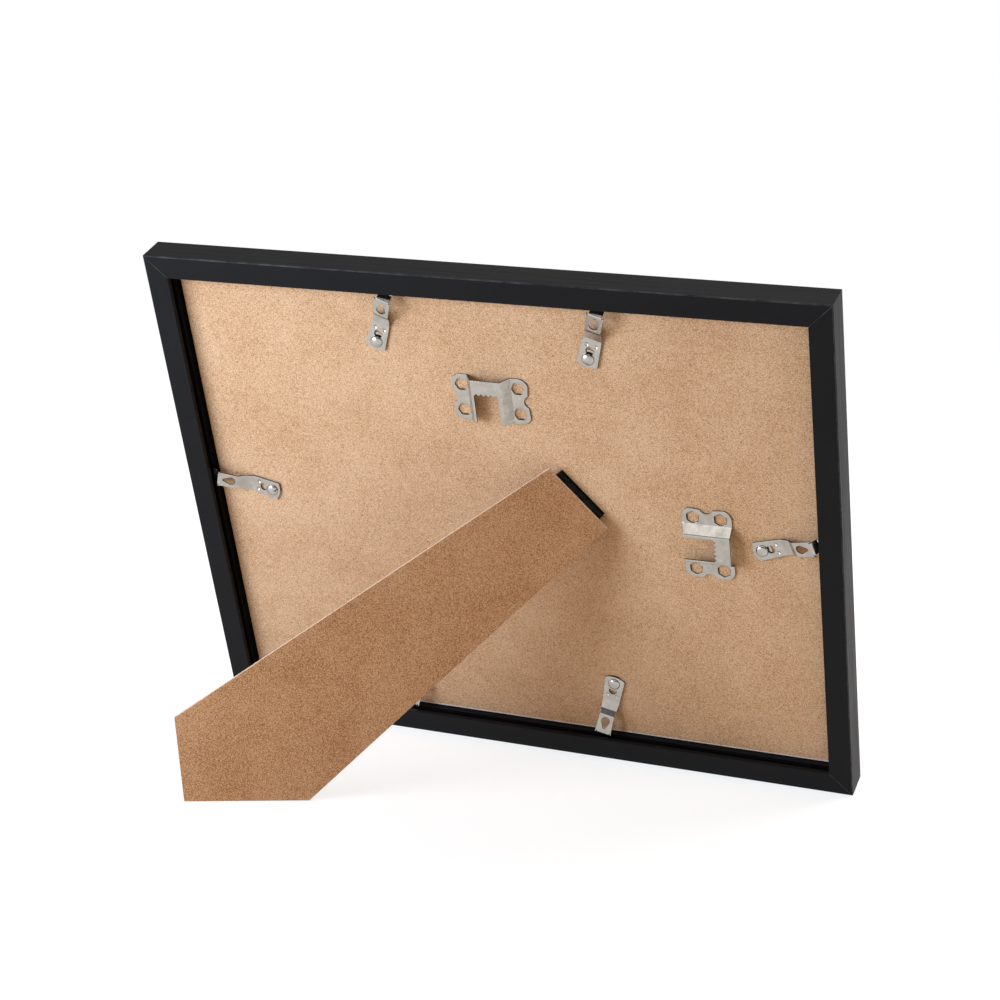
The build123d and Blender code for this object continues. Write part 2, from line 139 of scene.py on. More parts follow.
class PHOTOFRAME_PG_moulding(bpy.types.PropertyGroup):
    """Sizes and colour of the black moulding."""

    width: length("Width", 301.5, "Outer width of the frame")
    height: length("Height", 238.0, "Outer height of the frame")
    depth: length("Depth", 14.2, "Front face to back edge")
    rail: length("Rail", 10.25, "Back face of the moulding, outer edge to rabbet wall")
    lip: length("Lip", 5.0, "How far the front lip reaches past the rabbet wall")
    lip_thickness: length("Lip Thickness", 2.0, "Thickness of the front lip")
    groove_inset: length("Groove Inset", 2.0, "Back edge to the groove for the clips")
    groove_width: length("Groove Width", 3.0, "Width of the groove for the clips")
    groove_depth: length("Groove Depth", 4.4, "Depth of the groove for the clips")
    recess: length("Recess", 7.5, "Back edge to the fibreboard")
    corner: length("Corner", 0.5, "Rounding of the outer edges")
    mitre: length("Mitre", 0.16, "Softening of the mitred ends")
    black: paint("Black", "#0A0A0B", "Satin black wrap")
    worn: paint("Worn", "#52504D", "Wrap rubbed through at the mitres")
    # rubbed: the pale line along the outer back edge is a painted highlight, drawn in dashes like rubbed wrap
    rubbed: paint("Rubbed", "#4A4A4B", "Painted highlight along the outer back edge, in dashes like rubbed wrap")


class PHOTOFRAME_PG_fibreboard(bpy.types.PropertyGroup):
    """Colours of the fibreboard back and strut."""

    tan: paint("Tan", "#D6AF84", "Back board")
    brown: paint("Brown", "#C29264", "Strut face")
    cut: paint("Cut Edge", "#EACFAE", "Cut edges of the strut")
    # Pale cut colour, used as a painted highlight on the board's right and bottom edges and on the top of the
    # strut
    cut_highlight: paint("Board Cut Edge", "#F6EBDD", "Cut edges of the board")
    fleck: paint("Fleck", "#6A4830", "Dark fibres")
    edge: length("Edge", 0.22, "Softening of the strut's edges")
    # A chamfer along the top of the strut whose pale colour is a painted highlight
    chamfer: length("Chamfer", 0.5, "Pale chamfer at the top of the strut, a painted highlight")
    board_edge: length("Board Edge", 0.5, "Softening of the board's edges")
    # The rim is a pale strip of the back face, a painted highlight along the right and bottom edges only
    board_rim: length("Board Rim", 0.5, "Pale sawn rim of the board's back face")
    tan_spread: FloatProperty(
        name="Board Speckle", description="Half width of the speckle's ramp on the board", default=0.12
    )
    brown_spread: FloatProperty(
        name="Strut Speckle", description="Half width of the speckle's ramp on the strut", default=0.08
    )


class PHOTOFRAME_PG_clip(bpy.types.PropertyGroup):
    """Sizes of the turn clips and their rivets."""

    thickness: length("Thickness", 0.6, "Sheet thickness")
    pad_width: length("Pad Width", 9.2, "Width of the clip at its rivet")
    riser_width: length("Riser Width", 7.9, "Width of the clip where it starts to rise")
    waist_width: length("Waist Width", 6.8, "Width of the clip at the foot of the platform")
    platform_width: length("Platform Width", 7.2, "Width of the platform at its end")
    lift: length("Lift", 0.45, "Board to the underside of the pad")
    crest: length("Crest", 1.75, "Rise from the pad to where the riser steepens")
    platform: length("Platform", 3.7, "Rise from the pad to the foot of the platform")
    top: length("Top", 6.0, "Rise from the pad to the end of the platform")
    tongue: length("Tongue", 3.5, "Rise from the pad to the tongue")
    reach: length("Reach", 29.7, "Rivet to the end of the tongue")
    rim: length("Rim", 0.09, "Rounding of the sheared edges")
    rivet_head: length("Rivet Head", 2.75, "Radius of a rivet head")
    rivet_height: length("Rivet Height", 1.4, "Height of a rivet head")
    rivet_flange: length("Rivet Flange", 4.2, "Radius of the flange under a clip")
    steel: paint("Steel", "#C6C1B8", "Plated sheet steel")
    # Darker grey on the sides of the sheet: painted shade
    shear: paint("Shear", "#5A5650", "Painted shade on the edges of the sheet steel")


class PHOTOFRAME_PG_hanger(bpy.types.PropertyGroup):
    """Sizes of the raised sawtooth hangers."""

    thickness: length("Thickness", 0.7, "Sheet thickness")
    hole_span: length("Hole Span", 25.4, "Nail hole pitch along the hanger")
    hole_rise: length("Hole Rise", 12.1, "Nail hole pitch across the hanger")
    lobe: length("Lobe", 4.8, "Radius of the lobes round the nail holes")
    hole: length("Hole", 3.0, "Corner radius of a nail hole")
    height: length("Height", 5.4, "Height of the bridge above the board")
    bridge: length("Bridge", 6.3, "Half width of the bridge at its top")
    foot: length("Foot", 9.5, "Half width of the bridge at the board")
    strip: length("Strip", 7.2, "Depth of the toothed strip")
    trim: length("Trim", 1.5, "How much shorter the legs are at the bridge than at the board")
    tooth: length("Tooth", 1.1, "Depth of a tooth")
    teeth: IntProperty(name="Teeth", description="Number of teeth", default=5, min=1)


class PHOTOFRAME_PG_hinge(bpy.types.PropertyGroup):
    """Finish of the strut hinge."""

    edge: length("Edge", 0.1, "Softening of the hinge's edges")
    black: paint("Black", "#0B0B0C", "Black lacquer")


class PHOTOFRAME_PG_front(bpy.types.PropertyGroup):
    """Glass and picture insert."""

    paper: paint("Paper", "#E9E3D6", "Plain insert sheet")
    rule: paint("Rule", "#A79F92", "Printed border line")
    border: length("Border", 22.0, "Sheet edge to the printed border line")
    line: length("Line", 0.8, "Width of the printed border line")
    glass: paint("Glass", "#F4FAF7", "Tint of the glass")


class PHOTOFRAME_PG_stage(bpy.types.PropertyGroup):
    """Camera, lamps and floor."""

    eye_across: length("Eye Across", 354.74, "Camera, to the right of the back's centre")
    eye_up: length("Eye Up", 513.48, "Camera, up the back from its centre")
    eye_out: length("Eye Out", 740.98, "Camera, out of the back")
    aim_across: length("Aim Across", -1.78, "Aim point, to the right of the back's centre")
    aim_up: length("Aim Up", 9.18, "Aim point, up the back from its centre")
    aim_out: length("Aim Out", -7.5, "Aim point, out of the back")
    roll: FloatProperty(
        name="Roll", description="Camera roll", default=math.radians(-1.3003), subtype="ANGLE", precision=4
    )
    lens: FloatProperty(name="Lens", description="Focal length in millimetres", default=81.128, min=1.0)
    key_power: FloatProperty(name="Key", description="Soft lamp on the left", default=3.75, unit="POWER")
    key_width: length("Key Width", 340.0, "Side of the soft lamp")
    key_across: length("Key Across", -375.0, "Lamp, to the right of the back's centre")
    key_up: length("Key Up", 255.0, "Lamp, up the back from its centre")
    key_out: length("Key Out", 380.0, "Lamp, out of the back")
    key_tint: paint("Key Tint", "#D6E4FF", "Daylight from the lamp")
    fill_power: FloatProperty(name="Fill", description="Soft lamp on the front", default=5.4, unit="POWER")
    fill_width: length("Fill Width", 600.0, "Side of the front lamp")
    fill_across: length("Fill Across", 330.0, "Front lamp, to the right of the back's centre")
    fill_up: length("Fill Up", 420.0, "Front lamp, up the back from its centre")
    fill_out: length("Fill Out", -600.0, "Front lamp, out of the back")
    fill_tint: paint("Fill Tint", "#F3F5FF", "Daylight from the front lamp")
    world: FloatProperty(name="World", description="Light from all round", default=0.31, min=0.0)
    world_tint: paint("World Tint", "#FFE7D2", "Room light")
    room: FloatProperty(name="Room", description="Room between backdrop and ceiling", default=0.12, min=0.0)
    ceiling: FloatProperty(name="Ceiling", description="Ceiling as the metal shows it", default=1.7, min=1.0)
    floor: paint("Floor", "#ECE0D2", "Pale floor")
    glow: paint("Glow", "#F7FCFF", "What lifts the pale floor to white where it is seen")
    glow_near: FloatProperty(name="Glow Near", description="Lift beside the frame", default=1.62, min=0.0)
    glow_far: FloatProperty(
        name="Glow Far", description="Lift where only the room lights the floor", default=1.87, min=0.0
    )
    glow_start: length("Glow Start", 150.0, "Distance from the frame where the lift starts to grow")
    glow_end: length("Glow End", 600.0, "Distance from the frame where the lift is full")


def seat(origin, x_direction, z_direction):
    """The matrix that sets a piece down at a point, given its x and z directions."""
    y_direction = z_direction.cross(x_direction)
    turned = Matrix((x_direction, y_direction, z_direction)).transposed().to_4x4()
    turned.translation = origin
    return turned


def back_centre():
    """Centre of the frame's back face."""
    size = bpy.context.scene.frame_moulding
    return Vector(MOUNTS["wall_face"]["pos_m"]) - UP * (size.height / 2 - size.rail / 2)


def on_back(across, up, out):
    """A point given to the right, up and out from the centre of the back face."""
    return back_centre() + ACROSS * across + UP * up + OUT * out


def add_node(tree, kind, sockets=None, **settings):
    """Adds a node, sets it up, and fills or links its inputs."""
    made = tree.nodes.new(kind)
    for key, value in settings.items():
        setattr(made, key, value)
    for key, value in (sockets or {}).items():
        if isinstance(value, bpy.types.NodeSocket):
            tree.links.new(value, made.inputs[key])
        else:
            made.inputs[key].default_value = value
    return made


def new_material(name):
    """An empty node material and its tree."""
    material = bpy.data.materials.new(name)
    material.use_nodes = True
    material.node_tree.nodes.clear()
    return material, material.node_tree


def close_material(tree, shader):
    """Links a shader to the material's output."""
    add_node(tree, "ShaderNodeOutputMaterial", {"Surface": shader})


def shaded(colour, shares):
    """A colour with its red, green and blue scaled by shares, at most to full."""
    return [min(1.0, channel * share) for channel, share in zip(colour[:3], shares)] + [1.0]


def any_ray(tree, flag, *others):
    """One for a ray that is any of the flagged kinds."""
    for other in others:
        flag = add_node(tree, "ShaderNodeMath", {0: flag, 1: other}, operation="MAXIMUM").outputs[0]
    return flag


def black_wrap(name, turn, black):
    """Moulding wrapped in satin black foil: nearly black, with a faint grain along its length that shows
    only where light glances off it, and a slightly uneven gloss."""
    material, tree = new_material(name)
    grain_width = 0.7 * MM
    grain_length = 40 * MM
    cloud_width = 18 * MM
    relief = 0.05 * MM
    glossy, dull = 0.40, 0.54
    lifted = shaded(black, (2.2, 2.2, 2.2))
    where = add_node(tree, "ShaderNodeTexCoord").outputs["Object"]
    stretch = (1 / grain_length, 1 / grain_width, 1 / grain_width)
    if turn:
        stretch = (1 / grain_width, 1 / grain_width, 1 / grain_length)
    turned = add_node(tree, "ShaderNodeMapping", {"Vector": where, "Rotation": (turn, 0, 0)})
    placed = add_node(tree, "ShaderNodeMapping", {"Vector": turned.outputs["Vector"], "Scale": stretch})
    grain = add_node(
        tree, "ShaderNodeTexNoise", {"Vector": placed.outputs["Vector"], "Scale": 1.0, "Detail": 3.0}
    ).outputs["Fac"]
    cloud = add_node(tree, "ShaderNodeTexNoise", {"Vector": where, "Scale": 1 / cloud_width, "Detail": 4.0})
    tone = add_node(tree, "ShaderNodeMix", {0: cloud.outputs["Fac"], 6: black, 7: lifted}, data_type="RGBA")
    gloss = add_node(tree, "ShaderNodeMapRange", {0: grain, 1: NOISE_LOW, 2: NOISE_HIGH, 3: glossy, 4: dull})
    bump = add_node(tree, "ShaderNodeBump", {"Height": grain, "Strength": 0.25, "Distance": relief})
    shader = add_node(
        tree,
        "ShaderNodeBsdfPrincipled",
        {
            "Base Color": tone.outputs[2],
            "Roughness": gloss.outputs["Result"],
            "Normal": bump.outputs["Normal"],
            "Specular IOR Level": 0.12,
        },
    )
    close_material(tree, shader.outputs["BSDF"])
    return material


def fibreboard(name, tone, fleck, spread):
    """Raw hardboard, pressed from wood fibre: matt, with fine speckle, broad pale and dark clouds and
    scattered dark fibres. The speckle is drawn a little coarser than fibre so that it shows."""
    material, tree = new_material(name)
    speckle_width = 0.45 * MM
    mottle_width = 3.4 * MM
    cloud_width = 32 * MM
    mottle_share = 0.08
    cloud_share = 0.15
    fibre_spacing = 1.9 * MM
    fibre_core, fibre_rim = 0.12, 0.26
    fibre_absent, fibre_strength = 0.45, 0.6
    relief = 0.12 * MM
    where = add_node(tree, "ShaderNodeTexCoord").outputs["Object"]
    noises = []
    grains = ((speckle_width, 2.0, 0.7), (mottle_width, 3.0, 0.6), (cloud_width, 3.0, 0.6))
    for width, detail, rough in grains:
        sockets = {"Vector": where, "Scale": 1 / width, "Detail": detail, "Roughness": rough}
        noises.append(add_node(tree, "ShaderNodeTexNoise", sockets).outputs["Fac"])
    speckle, mottle, cloud = noises
    mixed = add_node(tree, "ShaderNodeMix", {0: mottle_share, 2: speckle, 3: mottle}, data_type="FLOAT")
    grain = mixed.outputs[0]
    clouded = add_node(tree, "ShaderNodeMix", {0: cloud_share, 2: grain, 3: cloud}, data_type="FLOAT")
    ramp = add_node(tree, "ShaderNodeValToRGB", {"Fac": clouded.outputs[0]})
    stops = ramp.color_ramp.elements
    stops[0].position = 0.5 - spread
    stops[0].color = shaded(tone, (0.62, 0.50, 0.38))
    stops[1].position = 0.5 + spread
    stops[1].color = shaded(tone, (1.24, 1.40, 1.60))
    stops.new(0.5).color = tone
    cell = add_node(
        tree, "ShaderNodeTexVoronoi", {"Vector": where, "Scale": 1 / fibre_spacing, "Randomness": 1.0}
    ).outputs
    spot = add_node(
        tree, "ShaderNodeMapRange", {0: cell["Distance"], 1: fibre_core, 2: fibre_rim, 3: 1.0, 4: 0.0}
    )
    chosen = add_node(tree, "ShaderNodeSeparateColor", {"Color": cell["Color"]})
    rare = add_node(
        tree, "ShaderNodeMapRange", {0: chosen.outputs[0], 1: fibre_absent, 2: 1.0, 3: 0.0, 4: fibre_strength}
    )
    weight = add_node(
        tree, "ShaderNodeMath", {0: spot.outputs["Result"], 1: rare.outputs["Result"]}, operation="MULTIPLY"
    )
    flecked = add_node(
        tree, "ShaderNodeMix", {0: weight.outputs[0], 6: ramp.outputs["Color"], 7: fleck}, data_type="RGBA"
    )
    bump = add_node(tree, "ShaderNodeBump", {"Height": grain, "Strength": 0.35, "Distance": relief})
    shader = add_node(
        tree,
        "ShaderNodeBsdfPrincipled",
        {
            "Base Color": flecked.outputs[2],
            "Roughness": 0.86,
            "Specular IOR Level": 0.25,
            "Normal": bump.outputs["Normal"],
        },
    )
    close_material(tree, shader.outputs["BSDF"])
    return material


def plated_steel(name, steel):
    """Zinc-plated sheet steel, stamped and barrel plated: bright grey, softly blurred reflections, with fine
    handling scratches and duller patches."""
    material, tree = new_material(name)
    patch_width = 4 * MM
    scratch_length = 5 * MM
    scratch_width = 0.4 * MM
    relief = 0.03 * MM
    glossy, rough = 0.14, 0.27
    dull = shaded(steel, (0.58, 0.58, 0.58))
    where = add_node(tree, "ShaderNodeTexCoord").outputs["Object"]
    sockets = {"Vector": where, "Scale": 1 / patch_width, "Detail": 4.0, "Roughness": 0.6}
    patch = add_node(tree, "ShaderNodeTexNoise", sockets).outputs["Fac"]
    stretch = (1 / scratch_length, 1 / scratch_width, 1 / scratch_width)
    drawn = add_node(tree, "ShaderNodeMapping", {"Vector": where, "Scale": stretch})
    scratch = add_node(
        tree, "ShaderNodeTexNoise", {"Vector": drawn.outputs["Vector"], "Scale": 1.0, "Detail": 3.0}
    )
    gloss = add_node(tree, "ShaderNodeMapRange", {0: patch, 1: NOISE_LOW, 2: NOISE_HIGH, 3: glossy, 4: rough})
    tone = add_node(tree, "ShaderNodeMix", {0: patch, 6: steel, 7: dull}, data_type="RGBA")
    bump = add_node(
        tree, "ShaderNodeBump", {"Height": scratch.outputs["Fac"], "Strength": 0.2, "Distance": relief}
    )
    shader = add_node(
        tree,
        "ShaderNodeBsdfPrincipled",
        {
            "Base Color": tone.outputs[2],
            "Metallic": 1.0,
            "Roughness": gloss.outputs["Result"],
            "Normal": bump.outputs["Normal"],
        },
    )
    close_material(tree, shader.outputs["BSDF"])
    return material


def black_lacquer(name, black):
    """Black lacquered steel: deep black, satin, with a fine orange-peel surface."""
    material, tree = new_material(name)
    peel_width = 0.6 * MM
    relief = 0.03 * MM
    glossy, rough = 0.36, 0.50
    where = add_node(tree, "ShaderNodeTexCoord").outputs["Object"]
    peel = add_node(
        tree, "ShaderNodeTexNoise", {"Vector": where, "Scale": 1 / peel_width, "Detail": 2.0}
    ).outputs["Fac"]
    gloss = add_node(tree, "ShaderNodeMapRange", {0: peel, 1: NOISE_LOW, 2: NOISE_HIGH, 3: glossy, 4: rough})
    bump = add_node(tree, "ShaderNodeBump", {"Height": peel, "Strength": 0.15, "Distance": relief})
    shader = add_node(
        tree,
        "ShaderNodeBsdfPrincipled",
        {
            "Base Color": black,
            "Roughness": gloss.outputs["Result"],
            "Normal": bump.outputs["Normal"],
            "Specular IOR Level": 0.15,
        },
    )
    close_material(tree, shader.outputs["BSDF"])
    return material


def wear_and_highlight_edge(name, black, worn):
    """Black foil at an edge: pale grey in dashes with black between, worn through at the mitres and a painted
    highlight along the outer back edge.
    """
    material, tree = new_material(name)
    rub_width = 9 * MM
    black_below, worn_above, least_worn = 0.38, 0.66, 0.08
    glossy, rough = 0.40, 0.60
    where = add_node(tree, "ShaderNodeTexCoord").outputs["Object"]
    sockets = {"Vector": where, "Scale": 1 / rub_width, "Detail": 5.0, "Roughness": 0.65}
    rub = add_node(tree, "ShaderNodeTexNoise", sockets).outputs["Fac"]
    share = add_node(
        tree, "ShaderNodeMapRange", {0: rub, 1: black_below, 2: worn_above, 3: least_worn, 4: 1.0}
    )
    tone = add_node(tree, "ShaderNodeMix", {0: share.outputs["Result"], 6: black, 7: worn}, data_type="RGBA")
    gloss = add_node(tree, "ShaderNodeMapRange", {0: rub, 1: NOISE_LOW, 2: NOISE_HIGH, 3: glossy, 4: rough})
    shader = add_node(
        tree,
        "ShaderNodeBsdfPrincipled",
        {"Base Color": tone.outputs[2], "Roughness": gloss.outputs["Result"], "Specular IOR Level": 0.15},
    )
    close_material(tree, shader.outputs["BSDF"])
    return material


def float_glass(name, tint):
    """Clear float glass: sharp reflections and a trace of green. Lamps and room light reach what is
    behind it."""
    material, tree = new_material(name)
    shader = add_node(
        tree,
        "ShaderNodeBsdfPrincipled",
        {"Base Color": tint, "Roughness": 0.02, "IOR": 1.52, "Transmission Weight": 1.0},
    )
    clear = add_node(tree, "ShaderNodeBsdfTransparent", {"Color": tint})
    path = add_node(tree, "ShaderNodeLightPath").outputs
    passing = any_ray(tree, path["Is Shadow Ray"], path["Is Diffuse Ray"])
    pane = add_node(tree, "ShaderNodeMixShader", {0: passing, 1: shader.outputs["BSDF"], 2: clear.outputs[0]})
    close_material(tree, pane.outputs[0])
    return material


def insert_paper(name, size):
    """Uncoated paper sheet: matt, warm white, faint fibre, and one thin printed border line."""
    material, tree = new_material(name)
    fibre_width = 1.2 * MM
    relief = 0.05 * MM
    shade = shaded(size.paper, (0.93, 0.93, 0.93))
    where = add_node(tree, "ShaderNodeTexCoord").outputs["Object"]
    sockets = {"Vector": where, "Scale": 1 / fibre_width, "Detail": 5.0, "Roughness": 0.7}
    fibre = add_node(tree, "ShaderNodeTexNoise", sockets).outputs["Fac"]
    sheet = add_node(tree, "ShaderNodeMix", {0: fibre, 6: size.paper, 7: shade}, data_type="RGBA")
    low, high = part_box("picture_insert")
    centre = (Vector(low) + Vector(high)) / 2
    half_across = (high[0] - low[0]) / 2 - size.border
    half_up = (high[2] - low[2]) / 2 / math.cos(LEAN) - size.border
    shifted = add_node(tree, "ShaderNodeMapping", {"Vector": where, "Location": -centre})
    level = add_node(
        tree, "ShaderNodeMapping", {"Vector": shifted.outputs["Vector"], "Rotation": (LEAN, 0.0, 0.0)}
    )
    flat = add_node(tree, "ShaderNodeVectorMath", {0: level.outputs["Vector"]}, operation="ABSOLUTE")
    sides = add_node(tree, "ShaderNodeSeparateXYZ", {0: flat.outputs["Vector"]}).outputs
    past_side = add_node(tree, "ShaderNodeMath", {0: sides["X"], 1: half_across}, operation="SUBTRACT")
    past_top = add_node(tree, "ShaderNodeMath", {0: sides["Z"], 1: half_up}, operation="SUBTRACT")
    past = add_node(
        tree, "ShaderNodeMath", {0: past_side.outputs[0], 1: past_top.outputs[0]}, operation="MAXIMUM"
    )
    line = add_node(
        tree, "ShaderNodeMath", {0: past.outputs[0], 1: 0.0, 2: size.line / 2}, operation="COMPARE"
    )
    printed = add_node(
        tree, "ShaderNodeMix", {0: line.outputs[0], 6: sheet.outputs[2], 7: size.rule}, data_type="RGBA"
    )
    bump = add_node(tree, "ShaderNodeBump", {"Height": fibre, "Strength": 0.2, "Distance": relief})
    shader = add_node(
        tree,
        "ShaderNodeBsdfPrincipled",
        {"Base Color": printed.outputs[2], "Roughness": 0.8, "Normal": bump.outputs["Normal"]},
    )
    close_material(tree, shader.outputs["BSDF"])
    return material


def place_piece(name, shape, materials, body, nodes):
    """Turns a finished mesh into a piece that rides on a body and stands for CAD nodes."""
    mesh = bpy.data.meshes.new(name)
    bmesh.ops.recalc_face_normals(shape, faces=shape.faces)
    shape.to_mesh(mesh)
    shape.free()
    for material in materials:
        mesh.materials.append(material)
    for polygon in mesh.polygons:
        polygon.use_smooth = True
    mesh.set_sharp_from_angle(angle=math.radians(SMOOTH_ANGLE))
    piece = bpy.data.objects.new(name, mesh)
    bpy.context.scene.collection.objects.link(piece)
    flat_faces = piece.modifiers.new("Flat faces", "WEIGHTED_NORMAL")
    flat_faces.keep_sharp = True
    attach(piece, body)
    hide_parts(*nodes)


def dress_node(node, material):
    """Gives a CAD node that keeps its shape its finished material."""
    slots = NODES[node].data.materials
    slots.clear()
    slots.append(material)


def merged_copy(node):
    """A copy of a CAD node's shape with its triangles merged into whole faces."""
    shape = bmesh.new()
    shape.from_mesh(NODES[node].data)
    bmesh.ops.remove_doubles(shape, verts=shape.verts, dist=WELD * MM)
    bmesh.ops.dissolve_limit(
        shape,
        angle_limit=math.radians(FLAT_ANGLE),
        use_dissolve_boundaries=False,
        verts=shape.verts,
        edges=shape.edges,
    )
    return shape


def soften(shape, width, shortest):
    """Rounds the sharp edges of a shape, but for those below a length."""
    sharp_turn = math.radians(SHARP_ANGLE)
    sharp = [
        edge
        for edge in shape.edges
        if edge.is_manifold and edge.calc_face_angle() > sharp_turn and edge.calc_length() > shortest
    ]
    bmesh.ops.bevel(
        shape, geom=sharp, offset=width, segments=2, profile=0.5, affect="EDGES", clamp_overlap=True
    )


def arc(centre, radius, start, stop, steps):
    """Points on an arc, angles in degrees."""
    turns = [math.radians(start + (stop - start) * step / steps) for step in range(steps + 1)]
    return [(centre[0] + radius * math.cos(turn), centre[1] + radius * math.sin(turn)) for turn in turns]


def moulding_section(size):
    """Cross-section of the moulding, as depth from the outer edge and height from the back face."""
    r = size.corner
    wall = size.rail
    front = -size.depth
    floor = front + size.lip_thickness
    groove_top = -size.groove_inset
    groove_floor = groove_top - size.groove_width
    mouth = 0.35 * MM
    section = arc((r, -r), r, 180, 90, CORNER_STEPS)
    section += arc((wall - mouth, -mouth), mouth, 90, 0, MOUTH_STEPS)
    section += [(wall, groove_top), (wall - size.groove_depth, groove_top)]
    section += [(wall - size.groove_depth, groove_floor), (wall, groove_floor), (wall, floor)]
    section += [(wall + size.lip, floor)]
    section += arc((wall + size.lip - r, front + r), r, 0, -90, CORNER_STEPS)
    section += arc((r, front + r), r, 270, 180, CORNER_STEPS)
    return section


def mitred_length(size, rail_length, reach, matrix):
    """One length of moulding with mitred ends, its outer edge at a reach from the frame's centre."""
    shape = bmesh.new()
    section = moulding_section(size)
    ends = []
    for side in (-1, 1):
        ends.append(
            [
                shape.verts.new((side * (rail_length / 2 - depth), reach - depth, height))
                for depth, height in section
            ]
        )
    count = len(section)
    for index in range(count):
        after = (index + 1) % count
        face = shape.faces.new((ends[0][index], ends[0][after], ends[1][after], ends[1][index]))
        # Faces round the outer back corner take the third material, a painted highlight in dashes
        face.material_index = 2 if index < CORNER_STEPS else 0
    caps = [shape.faces.new(ends[0]), shape.faces.new(list(reversed(ends[1])))]
    rims = list({edge for cap in caps for edge in cap.edges})
    bmesh.ops.bevel(
        shape, geom=rims, offset=size.mitre, segments=2, profile=0.5, affect="EDGES", material=1
    )
    bmesh.ops.transform(shape, matrix=matrix, verts=shape.verts)
    return shape


class PHOTOFRAME_OT_moulding(bpy.types.Operator):
    """Build the two rails and two stiles"""

    bl_idname = "photoframe.moulding"
    bl_label = "Moulding"

    def execute(self, context):
        size = context.scene.frame_moulding
        rail_finish = black_wrap("Satin black wrap on rails", 0.0, list(size.black))
        stile_finish = black_wrap("Satin black wrap on stiles", LEAN, list(size.black))
        worn = wear_and_highlight_edge("Rubbed mitre edge", list(size.black), list(size.worn))
        # Painted highlight along the outer back edge, in dashes like rubbed wrap
        rubbed = wear_and_highlight_edge("Painted highlight on outer edge", list(size.black), list(size.rubbed))
        sides = {"top_rail": 0, "left_stile": 90, "bottom_rail": 180, "right_stile": 270}
        for name, turn in sides.items():
            upright = turn in (90, 270)
            rail_length = size.height if upright else size.width
            reach = (size.width if upright else size.height) / 2
            matrix = seat(back_centre(), ACROSS, OUT) @ Matrix.Rotation(math.radians(turn), 4, "Z")
            shape = mitred_length(size, rail_length, reach, matrix)
            finish = stile_finish if upright else rail_finish
            place_piece(f"{name}_moulding", shape, [finish, worn, rubbed], "frame", [name])
        return {"FINISHED"}


class PHOTOFRAME_OT_backboard(bpy.types.Operator):
    """Finish the fibreboard back"""

    bl_idname = "photoframe.backboard"
    bl_label = "Backboard"

    def execute(self, context):
        size = context.scene.frame_fibreboard
        shape = merged_copy("backboard")
        shortest = 100 * MM
        soften(shape, size.board_edge, shortest)
        edges = [face for face in shape.faces if abs(face.normal.dot(OUT)) < FACING]
        back = [face for face in shape.faces if face.normal.dot(OUT) > FACING]
        rim = bmesh.ops.inset_region(shape, faces=back, thickness=size.board_rim, use_even_offset=True)
        for face in shape.faces:
            face.material_index = 0
        # Only the right and bottom edges and rim get the pale cut colour: a painted highlight
        for face in edges + rim["faces"]:
            face.material_index = 1 if self.highlit(face, context.scene.frame_moulding) else 0
        finishes = [
            fibreboard("Tan hardboard", list(size.tan), list(size.fleck), size.tan_spread),
            fibreboard("Cut hardboard back edge with painted highlight", list(size.cut_highlight), list(size.fleck), size.tan_spread),
        ]
        place_piece("backboard_panel", shape, finishes, "frame", ["backboard"])
        return {"FINISHED"}

    def highlit(self, face, moulding):
        """True for a face along the right or bottom side, the only sides given the pale cut colour: a painted
        highlight where the edges show lit.
        """
        near_side = 0.9
        place = face.calc_center_median() - back_centre()
        right = place.dot(ACROSS) > near_side * (moulding.width / 2 - moulding.rail)
        bottom = place.dot(UP) < -near_side * (moulding.height / 2 - moulding.rail)
        return right or bottom


class PHOTOFRAME_OT_strut(bpy.types.Operator):
    """Build the strut with its softened cut edges"""

    bl_idname = "photoframe.strut"
    bl_label = "Strut"

    def execute(self, context):
        size = context.scene.frame_fibreboard
        shortest = 20 * MM
        broadly = 0.9
        shape = merged_copy("strut")
        fold = Vector(JOINTS["strut_fold"]["pos_m"])
        long_edges = [edge for edge in shape.edges if edge.calc_length() > shortest]
        long_edges.sort(key=lambda edge: (sum((v.co for v in edge.verts), Vector()) / 2 - fold).length)
        top = max(long_edges[:2], key=lambda edge: edge.verts[0].co.dot(OUT))
        for face in shape.faces:
            face.material_index = 0
        # The chamfer along the strut's top back edge gets the pale cut colour: a painted highlight
        highlit_top = bmesh.ops.bevel(shape, geom=[top], offset=size.chamfer, segments=1, affect="EDGES")
        for face in highlit_top["faces"]:
            face.material_index = 2
        soften(shape, size.edge, shortest)
        shape.faces.ensure_lookup_table()
        broad = max(shape.faces, key=lambda face: face.calc_area()).normal.copy()
        for face in shape.faces:
            if abs(face.normal.dot(broad)) < broadly and face.material_index == 0:
                face.material_index = 1
        finishes = [
            fibreboard("Brown hardboard", list(size.brown), list(size.fleck), size.brown_spread),
            fibreboard("Cut hardboard edge", list(size.cut), list(size.fleck), size.tan_spread),
            fibreboard("Painted highlight on strut top edge", list(size.cut_highlight), list(size.fleck), size.tan_spread),
        ]
        place_piece("strut_panel", shape, finishes, "strut", ["strut"])
        return {"FINISHED"}


def bend_line(corners, radius, thickness, steps):
    """A bent sheet's underside as points of x, height and slope, each bend rounded inside to a radius."""
    slopes = [math.atan2(b[1] - a[1], b[0] - a[0]) for a, b in zip(corners, corners[1:])]
    line = [(corners[0][0], corners[0][1], slopes[0])]
    for corner, before, after in zip(corners[1:-1], slopes, slopes[1:]):
        turn = after - before
        bow = radius + thickness if turn > 0 else -radius
        back = abs(bow * math.tan(turn / 2))
        start = (corner[0] - back * math.cos(before), corner[1] - back * math.sin(before))
        centre = (start[0] - bow * math.sin(before), start[1] + bow * math.cos(before))
        for step in range(steps + 1):
            slope = before + turn * step / steps
            line.append((centre[0] + bow * math.sin(slope), centre[1] - bow * math.cos(slope), slope))
    line.append((corners[-1][0], corners[-1][1], slopes[-1]))
    return line


